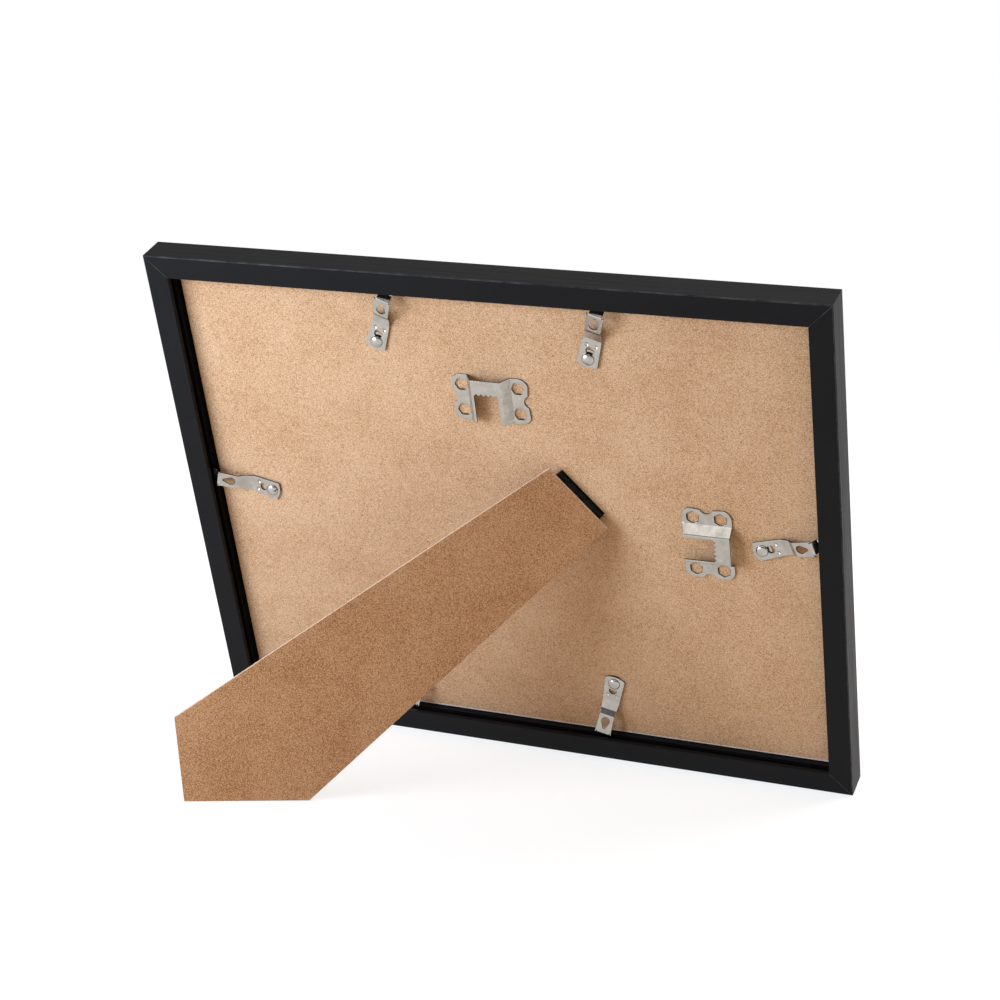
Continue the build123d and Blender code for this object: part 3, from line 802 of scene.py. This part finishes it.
def line_at(line, x):
    """Height and slope of a bent sheet's underside at x."""
    for near, far in zip(line, line[1:]):
        if x <= far[0] or far is line[-1]:
            share = (x - near[0]) / (far[0] - near[0])
            return near[1] + (far[1] - near[1]) * share, near[2] + (far[2] - near[2]) * share


def sheet_blank(outlines, thickness, rim):
    """A flat blank in millimetres with rounded sheared edges, from its rim and then its holes."""
    sheet_face = 0.6
    curve = bpy.data.curves.new("blank", "CURVE")
    curve.dimensions = "2D"
    curve.fill_mode = "BOTH"
    curve.extrude = thickness / 2 - rim
    curve.bevel_depth = rim
    curve.bevel_resolution = 1
    curve.offset = -rim
    for outline in outlines:
        spline = curve.splines.new("POLY")
        spline.points.add(len(outline) - 1)
        for point, (x, y) in zip(spline.points, outline):
            point.co = (x, y, 0.0, 1.0)
        spline.use_cyclic_u = True
    holder = bpy.data.objects.new("blank", curve)
    bpy.context.scene.collection.objects.link(holder)
    ready = holder.evaluated_get(bpy.context.evaluated_depsgraph_get())
    mesh = bpy.data.meshes.new_from_object(ready)
    bpy.data.objects.remove(holder)
    bpy.data.curves.remove(curve)
    shape = bmesh.new()
    shape.from_mesh(mesh)
    bpy.data.meshes.remove(mesh)
    bmesh.ops.remove_doubles(shape, verts=shape.verts, dist=WELD)
    shape.normal_update()
    # Faces on the sides and rounded rims of the sheet take the second material: painted shade
    for face in shape.faces:
        face.material_index = 0 if abs(face.normal.z) > sheet_face else 1
    return shape


def bend_sheet(shape, line, thickness, side_line=None, side=0.0):
    """Bends a flat blank along a line of x, height and slope, and beyond a side distance along another."""
    for x, _, _ in line[1:-1]:
        everything = shape.verts[:] + shape.edges[:] + shape.faces[:]
        bmesh.ops.bisect_plane(shape, geom=everything, dist=WELD / 2, plane_co=(x, 0, 0), plane_no=(1, 0, 0))
    for vert in shape.verts:
        beside = side_line is not None and abs(vert.co.y) > side
        height, slope = line_at(side_line if beside else line, vert.co.x)
        up = vert.co.z + thickness / 2
        vert.co = (vert.co.x - up * math.sin(slope), vert.co.y, height + up * math.cos(slope))


def add_dimple(shape, centre, radius, top, bottom, depth):
    """A plug with a dished top that closes a round hole in the sheet."""
    sunk = 0.05
    levels = [(share, top - sunk - depth * (1 - share**2)) for share in (1.0, 0.75, 0.5, 0.25)]
    rings = []
    for share, height in levels + [(1.0, bottom)]:
        circle = arc(centre, radius * share, 0, 360 - 360 / DIMPLE_SIDES, DIMPLE_SIDES - 1)
        rings.append([shape.verts.new((x, y, height)) for x, y in circle])
    *dish, under = rings
    for one, two in zip([under] + dish, dish):
        for index in range(DIMPLE_SIDES):
            after = (index + 1) % DIMPLE_SIDES
            shape.faces.new((one[index], one[after], two[after], two[index]))
    shape.faces.new(dish[-1])
    shape.faces.new(list(reversed(under)))


def clip_outlines(size):
    """Rim, keyhole, teardrop and dimple holes of a turn clip, in millimetres, rivet at the origin."""
    pad, riser = size.pad_width / MM / 2, size.riser_width / MM / 2
    waist, half = size.waist_width / MM / 2, size.platform_width / MM / 2
    reach = size.reach / MM
    pad_corner, pad_end = -2.6, -3.9
    ear_root, ear_reach, ear_flare = 1.0, 0.5, 0.22
    ear_back, ear_slant = 0.15, 0.12
    tip_length, tip_shoulder, tip_corner = 0.5, 0.2, 0.7
    edge = [
        (pad_corner, pad),
        (CLIP_RISER, riser),
        (CLIP_PLATFORM, waist),
        (CLIP_END - ear_root, half),
        (CLIP_END + ear_reach, half + ear_flare),
        (CLIP_END + ear_back, CLIP_EAR + ear_slant),
        (CLIP_NOTCH, CLIP_EAR),
        (CLIP_NOTCH, CLIP_TONGUE),
        (reach - tip_length, CLIP_TONGUE - tip_shoulder),
        (reach, CLIP_TONGUE - tip_corner),
    ]
    bow = [(-3.3, pad * 0.68), (-3.75, pad * 0.34)]
    rim = edge + [(x, -y) for x, y in reversed(edge)]
    rim += [(x, -y) for x, y in bow] + [(pad_end, 0.0)] + list(reversed(bow))
    slot = 1.15
    key_centre, key_radius = 4.0, 1.9
    opening = math.degrees(math.asin(slot / key_radius))
    keyhole = arc((key_centre, 0), key_radius, 180 - opening, opening - 180, 28)
    keyhole += arc((0, 0), slot, -90, -270, 12)
    tear_centre, tear_radius, tip_centre, tip_radius = 18.75, 2.0, 21.8, 0.7
    lean = math.degrees(math.acos((tear_radius - tip_radius) / (tip_centre - tear_centre)))
    teardrop = arc((tear_centre, 0), tear_radius, lean, 360 - lean, 24)
    teardrop += arc((tip_centre, 0), tip_radius, -lean, lean, 6)
    dimples = [
        arc((DIMPLE_PLACE, y), DIMPLE_RADIUS, 0, 360 - 360 / DIMPLE_SIDES, DIMPLE_SIDES - 1)
        for y in (-DIMPLE_SIDE, DIMPLE_SIDE)
    ]
    return [rim, keyhole, teardrop] + dimples


def clip_shape(size):
    """A turn clip pressed from sheet: pad, riser, platform with two ears, and tongue, in millimetres."""
    pad_start = -4.2
    ear_length = 2.0
    tongue_bend, tongue_drop, overrun = 2.1, 0.5, 0.2
    dimple_depth = 0.42
    thickness = size.thickness / MM
    lift = size.lift / MM
    rises = [lift, lift + size.crest / MM, lift + size.platform / MM, lift + size.top / MM]
    platform = [(pad_start, lift), (CLIP_RISER, lift), (CLIP_CREST, rises[1]), (CLIP_PLATFORM, rises[2])]
    slope = (rises[3] - rises[2]) / (CLIP_END - CLIP_PLATFORM)
    ear_end = CLIP_END + ear_length
    ears = platform + [(ear_end, rises[2] + slope * (ear_end - CLIP_PLATFORM))]
    low = lift + size.tongue / MM
    tongue = platform + [(CLIP_END, rises[3]), (CLIP_END + tongue_bend, low)]
    tongue += [(size.reach / MM + overrun, low - tongue_drop)]
    shape = sheet_blank(clip_outlines(size), thickness, size.rim / MM)
    tongue_line = bend_line(tongue, BEND, thickness, BEND_STEPS)
    ear_line = bend_line(ears, BEND, thickness, BEND_STEPS)
    bend_sheet(shape, tongue_line, thickness, ear_line, (CLIP_TONGUE + CLIP_EAR) / 2)
    for y in (-DIMPLE_SIDE, DIMPLE_SIDE):
        add_dimple(shape, (DIMPLE_PLACE, y), DIMPLE_RADIUS, lift + thickness, lift, dimple_depth)
    return shape


class PHOTOFRAME_OT_clips(bpy.types.Operator):
    """Press the six turn clips"""

    bl_idname = "photoframe.clips"
    bl_label = "Turn Clips"

    def execute(self, context):
        size = context.scene.frame_clip
        finish = plated_steel("Zinc plated clip steel", list(size.steel))
        # Painted shade on the sides of the clips
        edge = plated_steel("Painted shade on clip edges", list(size.shear))
        for name, turn in CLIP_TURNS.items():
            shape = clip_shape(size)
            angle = math.radians(turn)
            heading = ACROSS * math.cos(angle) + UP * math.sin(angle)
            place = seat(Vector(JOINTS[f"{name}_turn"]["pos_m"]), heading, OUT) @ Matrix.Scale(MM, 4)
            bmesh.ops.transform(shape, matrix=place, verts=shape.verts)
            place_piece(f"{name}_pressing", shape, [finish, edge], name, [name])
        return {"FINISHED"}


def rivet_tree():
    """Geometry Nodes that set a domed rivet with a neck and a flange on every point of a mesh."""
    head_sides, head_rings, neck_sides, flange_sides = 40, 20, 32, 40
    tree = bpy.data.node_groups.new("Domed rivets", "GeometryNodeTree")
    face = tree.interface
    face.new_socket("Geometry", in_out="INPUT", socket_type="NodeSocketGeometry")
    for label in ("Head", "Neck", "Flange"):
        for measure in ("Radius", "Height"):
            face.new_socket(f"{label} {measure}", in_out="INPUT", socket_type="NodeSocketFloat")
    face.new_socket("Out", in_out="INPUT", socket_type="NodeSocketVector")
    face.new_socket("Finish", in_out="INPUT", socket_type="NodeSocketMaterial")
    face.new_socket("Geometry", in_out="OUTPUT", socket_type="NodeSocketGeometry")
    given = add_node(tree, "NodeGroupInput").outputs
    ball = add_node(
        tree, "GeometryNodeMeshUVSphere", {"Segments": head_sides, "Rings": head_rings, "Radius": 1.0}
    )
    spot = add_node(tree, "GeometryNodeInputPosition")
    parts = add_node(tree, "ShaderNodeSeparateXYZ", {0: spot.outputs[0]}).outputs
    lowest = add_node(tree, "ShaderNodeMath", {0: parts["Z"], 1: 0.0}, operation="MAXIMUM")
    flat = add_node(tree, "ShaderNodeCombineXYZ", {0: parts["X"], 1: parts["Y"], 2: lowest.outputs[0]})
    dome = add_node(
        tree, "GeometryNodeSetPosition", {"Geometry": ball.outputs["Mesh"], "Position": flat.outputs[0]}
    )
    radius = given["Head Radius"]
    head_size = add_node(tree, "ShaderNodeCombineXYZ", {0: radius, 1: radius, 2: given["Head Height"]})
    head_base = add_node(
        tree, "ShaderNodeMath", {0: given["Neck Height"], 1: given["Flange Height"]}, operation="ADD"
    ).outputs[0]
    head_place = add_node(tree, "ShaderNodeCombineXYZ", {2: head_base})
    head = add_node(
        tree,
        "GeometryNodeTransform",
        {"Geometry": dome.outputs[0], "Scale": head_size.outputs[0], "Translation": head_place.outputs[0]},
    )
    whole = add_node(tree, "GeometryNodeJoinGeometry")
    drums = {"Flange": (flange_sides, given["Flange Height"]), "Neck": (neck_sides, head_base)}
    for label, (sides, depth) in drums.items():
        drum = add_node(
            tree,
            "GeometryNodeMeshCylinder",
            {"Vertices": sides, "Radius": given[f"{label} Radius"], "Depth": depth},
        )
        half = add_node(tree, "ShaderNodeMath", {0: depth, 1: 0.5}, operation="MULTIPLY")
        place = add_node(tree, "ShaderNodeCombineXYZ", {2: half.outputs[0]})
        raised = add_node(
            tree, "GeometryNodeTransform", {"Geometry": drum.outputs["Mesh"], "Translation": place.outputs[0]}
        )
        tree.links.new(raised.outputs[0], whole.inputs[0])
    tree.links.new(head.outputs[0], whole.inputs[0])
    facing = add_node(tree, "FunctionNodeAlignRotationToVector", {"Vector": given["Out"]}, axis="Z")
    copies = add_node(
        tree,
        "GeometryNodeInstanceOnPoints",
        {"Points": given["Geometry"], "Instance": whole.outputs[0], "Rotation": facing.outputs[0]},
    )
    real = add_node(tree, "GeometryNodeRealizeInstances", {0: copies.outputs[0]})
    finished = add_node(
        tree, "GeometryNodeSetMaterial", {"Geometry": real.outputs[0], "Material": given["Finish"]}
    )
    add_node(tree, "NodeGroupOutput", {0: finished.outputs[0]})
    return tree


def grow(name, points, tree, values):
    """Runs a tree on a cloud of points and returns the result as a mesh."""
    seed = bpy.data.meshes.new(f"{name}_points")
    seed.from_pydata(points, [], [])
    holder = bpy.data.objects.new(f"{name}_points", seed)
    bpy.context.scene.collection.objects.link(holder)
    modifier = holder.modifiers.new("Rivets", "NODES")
    modifier.node_group = tree
    for item in tree.interface.items_tree:
        if item.in_out == "INPUT" and item.name in values:
            modifier[item.identifier] = values[item.name]
    ready = holder.evaluated_get(bpy.context.evaluated_depsgraph_get())
    mesh = bpy.data.meshes.new_from_object(ready)
    holder.modifiers.remove(modifier)
    bpy.data.objects.remove(holder)
    bpy.data.meshes.remove(seed)
    return mesh


class PHOTOFRAME_OT_rivets(bpy.types.Operator):
    """Set the domed clip rivets and the hinge rivets"""

    bl_idname = "photoframe.rivets"
    bl_label = "Rivets"

    def execute(self, context):
        size = context.scene.frame_clip
        hinge = context.scene.frame_hinge
        tree = rivet_tree()
        neck_radius = 1.1 * MM
        neck_play = 0.1 * MM
        flange_play = 0.05 * MM
        hinge_head = 1.9 * MM
        dome = 0.6 * MM
        leaf = 0.5 * MM
        clip_points = [JOINTS[f"{name}_turn"]["pos_m"] for name in CLIP_TURNS]
        values = {
            "Head Radius": size.rivet_head,
            "Head Height": size.rivet_height,
            "Neck Radius": neck_radius,
            "Neck Height": size.thickness + neck_play,
            "Flange Radius": size.rivet_flange,
            "Flange Height": size.lift - flange_play,
            "Out": tuple(OUT),
            "Finish": plated_steel("Zinc plated rivet steel", list(size.steel)),
        }
        self.rivets("clip_rivet_heads", "clip_rivets", clip_points, tree, values, "plated_steel")
        hinge_points = self.hinge_points()
        values.update(
            {
                "Head Radius": hinge_head,
                "Head Height": dome,
                "Neck Height": leaf / 2,
                "Flange Radius": neck_radius,
                "Flange Height": leaf / 2,
                "Finish": black_lacquer("Black lacquered rivet", list(hinge.black)),
            }
        )
        self.rivets(
            "hinge_rivet_heads", "hinge_board_rivets", hinge_points, tree, values, "black_hinge_steel"
        )
        return {"FINISHED"}

    def hinge_points(self):
        """Feet of the two hinge rivets on the board, below the hinge line."""
        barrel_height = 1.44 * MM
        setback = 8.0 * MM
        half_span = 8.0 * MM
        fold = JOINTS["strut_fold"]
        along = Vector(fold["axis"])
        toward_foot = along.cross(OUT)
        centre = Vector(fold["pos_m"]) - OUT * barrel_height + toward_foot * setback
        return [tuple(centre + along * (side * half_span)) for side in (-1, 1)]

    def rivets(self, name, node, points, tree, values, slot):
        """Grows one group of rivets and sets it in place of its CAD node."""
        mesh = grow(name, points, tree, values)
        shape = bmesh.new()
        shape.from_mesh(mesh)
        bpy.data.meshes.remove(mesh)
        place_piece(name, shape, [values["Finish"]], "frame", [node])


def hanger_outlines(size):
    """Rim with scalloped ends and toothed cut-out, and the nail holes of a hanger, in millimetres."""
    half_span = size.hole_span / MM / 2
    half_rise = size.hole_rise / MM / 2
    lobe = size.lobe / MM
    end = half_span + lobe
    top = half_rise + lobe
    flange_left = 0.8
    cut = size.bridge / MM - flange_left
    cut_top = top - size.strip / MM
    pitch = 2 * cut / size.teeth
    teeth = [
        (cut - step * pitch / 2, cut_top + (step % 2) * size.tooth / MM) for step in range(2 * size.teeth + 1)
    ]
    scallop, scallop_offset, scallop_share = 3.0, 0.4, 0.82
    scallop_centre = end + scallop_offset
    bite = math.degrees(math.acos((scallop_centre - end) / scallop))
    bitten = bite * scallop_share
    lobe_end = 20
    right = arc((half_span, -half_rise), lobe, -90, -lobe_end, 9)
    right += arc((scallop_centre, 0), scallop, 180 + bitten, 180 - bitten, 10)
    right += arc((half_span, half_rise), lobe, lobe_end, 90, 9)
    left = [(-x, y) for x, y in reversed(right)]
    bridge, foot = size.bridge / MM, size.foot / MM
    leg = [(cut, size.trim / MM - top), (bridge, size.trim / MM - top), (foot, -top)]
    rim = leg + right + left + [(-x, y) for x, y in reversed(leg)] + list(reversed(teeth))
    corner = size.hole / MM
    sides, blunt = 6, 6
    turns = [math.radians(360 // sides * side + turn) for side in range(sides) for turn in (-blunt, blunt)]
    holes = []
    for x in (-half_span, half_span):
        for y in (-half_rise, half_rise):
            holes.append([(x + corner * math.cos(turn), y + corner * math.sin(turn)) for turn in turns])
    return [rim] + holes


class PHOTOFRAME_OT_hangers(bpy.types.Operator):
    """Press the two sawtooth hangers"""

    bl_idname = "photoframe.hangers"
    bl_label = "Sawtooth Hangers"

    def execute(self, context):
        size = context.scene.frame_hanger
        finish = plated_steel("Zinc plated hanger steel", list(context.scene.frame_clip.steel))
        # Painted shade on the sides of the hangers
        edge = plated_steel("Painted shade on hanger edges", list(context.scene.frame_clip.shear))
        rim, overrun = 0.1, 0.2
        thickness = size.thickness / MM
        foot, bridge = size.foot / MM, size.bridge / MM
        high = size.height / MM - thickness
        end = size.hole_span / MM / 2 + size.lobe / MM + overrun
        corners = [(-end, 0.0), (-foot, 0.0), (-bridge, high), (bridge, high), (foot, 0.0), (end, 0.0)]
        seats = {
            "hanger_landscape": seat(Vector(MOUNTS["hang_landscape"]["pos_m"]), ACROSS, OUT),
            "hanger_portrait": seat(Vector(MOUNTS["hang_portrait"]["pos_m"]), -UP, OUT),
        }
        cut_top = size.hole_rise / MM / 2 + size.lobe / MM - size.strip / MM
        for name, place in seats.items():
            shape = sheet_blank(hanger_outlines(size), thickness, rim)
            bend_sheet(shape, bend_line(corners, BEND, thickness, BEND_STEPS), thickness)
            shift = Matrix.Translation((0, -cut_top * MM, -high * MM))
            bmesh.ops.transform(shape, matrix=place @ shift @ Matrix.Scale(MM, 4), verts=shape.verts)
            place_piece(f"{name}_pressing", shape, [finish, edge], "frame", [name])
        return {"FINISHED"}


class PHOTOFRAME_OT_hinge(bpy.types.Operator):
    """Build the leaves and pin of the strut hinge"""

    bl_idname = "photoframe.hinge"
    bl_label = "Strut Hinge"

    def execute(self, context):
        size = context.scene.frame_hinge
        finish = black_lacquer("Black lacquered hinge steel", list(size.black))
        bodies = {"hinge_board_leaf": "frame", "hinge_pin": "frame", "hinge_strut_leaf": "strut"}
        for node, body in bodies.items():
            shape = merged_copy(node)
            soften(shape, size.edge, 0.0)
            place_piece(f"{node}_steel", shape, [finish], body, [node])
        return {"FINISHED"}


class PHOTOFRAME_OT_front(bpy.types.Operator):
    """Finish the glass and the insert sheet"""

    bl_idname = "photoframe.front"
    bl_label = "Glass and Insert"

    def execute(self, context):
        size = context.scene.frame_front
        dress_node("glass_pane", float_glass("Float glass", list(size.glass)))
        dress_node("picture_insert", insert_paper("Insert paper", size))
        return {"FINISHED"}


class PHOTOFRAME_OT_stage(bpy.types.Operator):
    """Set up floor, light and camera"""

    bl_idname = "photoframe.stage"
    bl_label = "Stage"

    def execute(self, context):
        size = context.scene.frame_stage
        self.floor(size)
        key_place = on_back(size.key_across, size.key_up, size.key_out)
        self.lamp("Key", size.key_power, size.key_width, size.key_tint, key_place, True)
        fill_place = on_back(size.fill_across, size.fill_up, size.fill_out)
        self.lamp("Fill", size.fill_power, size.fill_width, size.fill_tint, fill_place, False)
        self.world(size)
        self.camera(size)
        context.scene.view_settings.view_transform = "Standard"
        return {"FINISHED"}

    def floor(self, size):
        """A wide pale floor that shows white to the camera and keeps a soft shadow."""
        half = 6.0
        glow_share = 0.5
        material, tree = new_material("Pale studio floor")
        path = add_node(tree, "ShaderNodeLightPath").outputs
        seen = any_ray(tree, path["Is Camera Ray"], path["Is Glossy Ray"], path["Is Transmission Ray"])
        share = add_node(tree, "ShaderNodeMath", {0: seen, 1: glow_share}, operation="MULTIPLY")
        matt = add_node(tree, "ShaderNodeBsdfDiffuse", {"Color": size.floor})
        where = add_node(tree, "ShaderNodeTexCoord").outputs["Object"]
        reach = add_node(tree, "ShaderNodeVectorMath", {0: where}, operation="LENGTH")
        lift = add_node(
            tree,
            "ShaderNodeMapRange",
            {
                0: reach.outputs["Value"],
                1: size.glow_start,
                2: size.glow_end,
                3: size.glow_near,
                4: size.glow_far,
            },
        )
        glow = add_node(tree, "ShaderNodeEmission", {"Color": size.glow, "Strength": lift.outputs["Result"]})
        mixed = add_node(
            tree, "ShaderNodeMixShader", {0: share.outputs[0], 1: matt.outputs[0], 2: glow.outputs[0]}
        )
        close_material(tree, mixed.outputs[0])
        corners = [(-half, -half, 0.0), (half, -half, 0.0), (half, half, 0.0), (-half, half, 0.0)]
        mesh = bpy.data.meshes.new("studio_floor")
        mesh.from_pydata(corners, [], [(0, 1, 2, 3)])
        mesh.materials.append(material)
        floor = bpy.data.objects.new("studio_floor", mesh)
        bpy.context.scene.collection.objects.link(floor)

    def lamp(self, name, power, width, tint, place, mirrored):
        """A square soft lamp aimed at the frame, mirrored in shiny surfaces or not."""
        data = bpy.data.lights.new(name, "AREA")
        data.energy = power
        data.size = width
        data.color = tint[:3]
        lamp = bpy.data.objects.new(name, data)
        lamp.location = place
        lamp.visible_glossy = mirrored
        lamp.rotation_euler = (on_back(0, 0, 0) - place).to_track_quat("-Z", "Y").to_euler()
        bpy.context.scene.collection.objects.link(lamp)

    def world(self, size):
        """White where it is seen, a dim room under a ceiling in the metal, and plain soft light elsewhere."""
        backdrop_top, room_bottom, room_top, ceiling_edge = 0.08, 0.40, 0.62, 0.78
        world = bpy.data.worlds.new("Studio")
        world.use_nodes = True
        tree = world.node_tree
        tree.nodes.clear()
        path = add_node(tree, "ShaderNodeLightPath").outputs
        seen = any_ray(tree, path["Is Camera Ray"], path["Is Transmission Ray"])
        way = add_node(tree, "ShaderNodeTexCoord").outputs["Generated"]
        height = add_node(tree, "ShaderNodeSeparateXYZ", {0: way}).outputs["Z"]
        belt = add_node(tree, "ShaderNodeValToRGB", {"Fac": height})
        stops = belt.color_ramp.elements
        stops[0].position, stops[1].position = backdrop_top, room_bottom
        stops.new(room_top)
        stops.new(ceiling_edge)
        for stop, level in zip(stops, (1.0, size.room, size.room, size.ceiling)):
            share = level / size.ceiling
            stop.color = (share, share, share, 1.0)
        room = add_node(tree, "ShaderNodeBackground", {"Color": size.world_tint, "Strength": size.world})
        mirrored = add_node(
            tree, "ShaderNodeBackground", {"Color": belt.outputs["Color"], "Strength": size.ceiling}
        )
        white = add_node(tree, "ShaderNodeBackground", {"Color": (1.0, 1.0, 1.0, 1.0), "Strength": 1.0})
        glossy = path["Is Glossy Ray"]
        lit = add_node(tree, "ShaderNodeMixShader", {0: glossy, 1: room.outputs[0], 2: mirrored.outputs[0]})
        sky = add_node(tree, "ShaderNodeMixShader", {0: seen, 1: lit.outputs[0], 2: white.outputs[0]})
        add_node(tree, "ShaderNodeOutputWorld", {"Surface": sky.outputs[0]})
        bpy.context.scene.world = world

    def camera(self, size):
        """The photograph's viewpoint."""
        data = bpy.data.cameras.new("Camera")
        data.lens = size.lens
        data.sensor_width = 36.0
        camera = bpy.data.objects.new("Camera", data)
        eye = on_back(size.eye_across, size.eye_up, size.eye_out)
        aim = on_back(size.aim_across, size.aim_up, size.aim_out)
        ahead = (aim - eye).normalized()
        level = ahead.cross(Vector((0.0, 0.0, 1.0))).normalized()
        upright = level.cross(ahead)
        top = upright * math.cos(size.roll) + level * math.sin(size.roll)
        camera.matrix_world = seat(eye, ahead.cross(top), -ahead)
        bpy.context.scene.collection.objects.link(camera)
        bpy.context.scene.camera = camera


class PHOTOFRAME_PT_panel(bpy.types.Panel):
    """Lists the build steps in the sidebar."""

    bl_idname = "PHOTOFRAME_PT_panel"
    bl_label = "Photo Frame"
    bl_space_type = "VIEW_3D"
    bl_region_type = "UI"
    bl_category = "Photo Frame"

    def draw(self, context):
        for operator in OPERATORS:
            self.layout.operator(operator.bl_idname)


GROUPS = {
    "frame_moulding": PHOTOFRAME_PG_moulding,
    "frame_fibreboard": PHOTOFRAME_PG_fibreboard,
    "frame_clip": PHOTOFRAME_PG_clip,
    "frame_hanger": PHOTOFRAME_PG_hanger,
    "frame_hinge": PHOTOFRAME_PG_hinge,
    "frame_front": PHOTOFRAME_PG_front,
    "frame_stage": PHOTOFRAME_PG_stage,
}
OPERATORS = (
    PHOTOFRAME_OT_moulding,
    PHOTOFRAME_OT_backboard,
    PHOTOFRAME_OT_strut,
    PHOTOFRAME_OT_clips,
    PHOTOFRAME_OT_rivets,
    PHOTOFRAME_OT_hangers,
    PHOTOFRAME_OT_hinge,
    PHOTOFRAME_OT_front,
    PHOTOFRAME_OT_stage,
)


def register():
    for group in GROUPS.values():
        bpy.utils.register_class(group)
    for name, group in GROUPS.items():
        setattr(bpy.types.Scene, name, PointerProperty(type=group))
    for kind in (*OPERATORS, PHOTOFRAME_PT_panel):
        bpy.utils.register_class(kind)


def unregister():
    for kind in reversed((*OPERATORS, PHOTOFRAME_PT_panel)):
        bpy.utils.unregister_class(kind)
    for name in GROUPS:
        delattr(bpy.types.Scene, name)
    for group in reversed(list(GROUPS.values())):
        bpy.utils.unregister_class(group)


def main():
    register()
    bpy.ops.photoframe.moulding()
    bpy.ops.photoframe.backboard()
    bpy.ops.photoframe.strut()
    bpy.ops.photoframe.clips()
    bpy.ops.photoframe.rivets()
    bpy.ops.photoframe.hangers()
    bpy.ops.photoframe.hinge()
    bpy.ops.photoframe.front()
    bpy.ops.photoframe.stage()


if __name__ == "__main__":
    main()
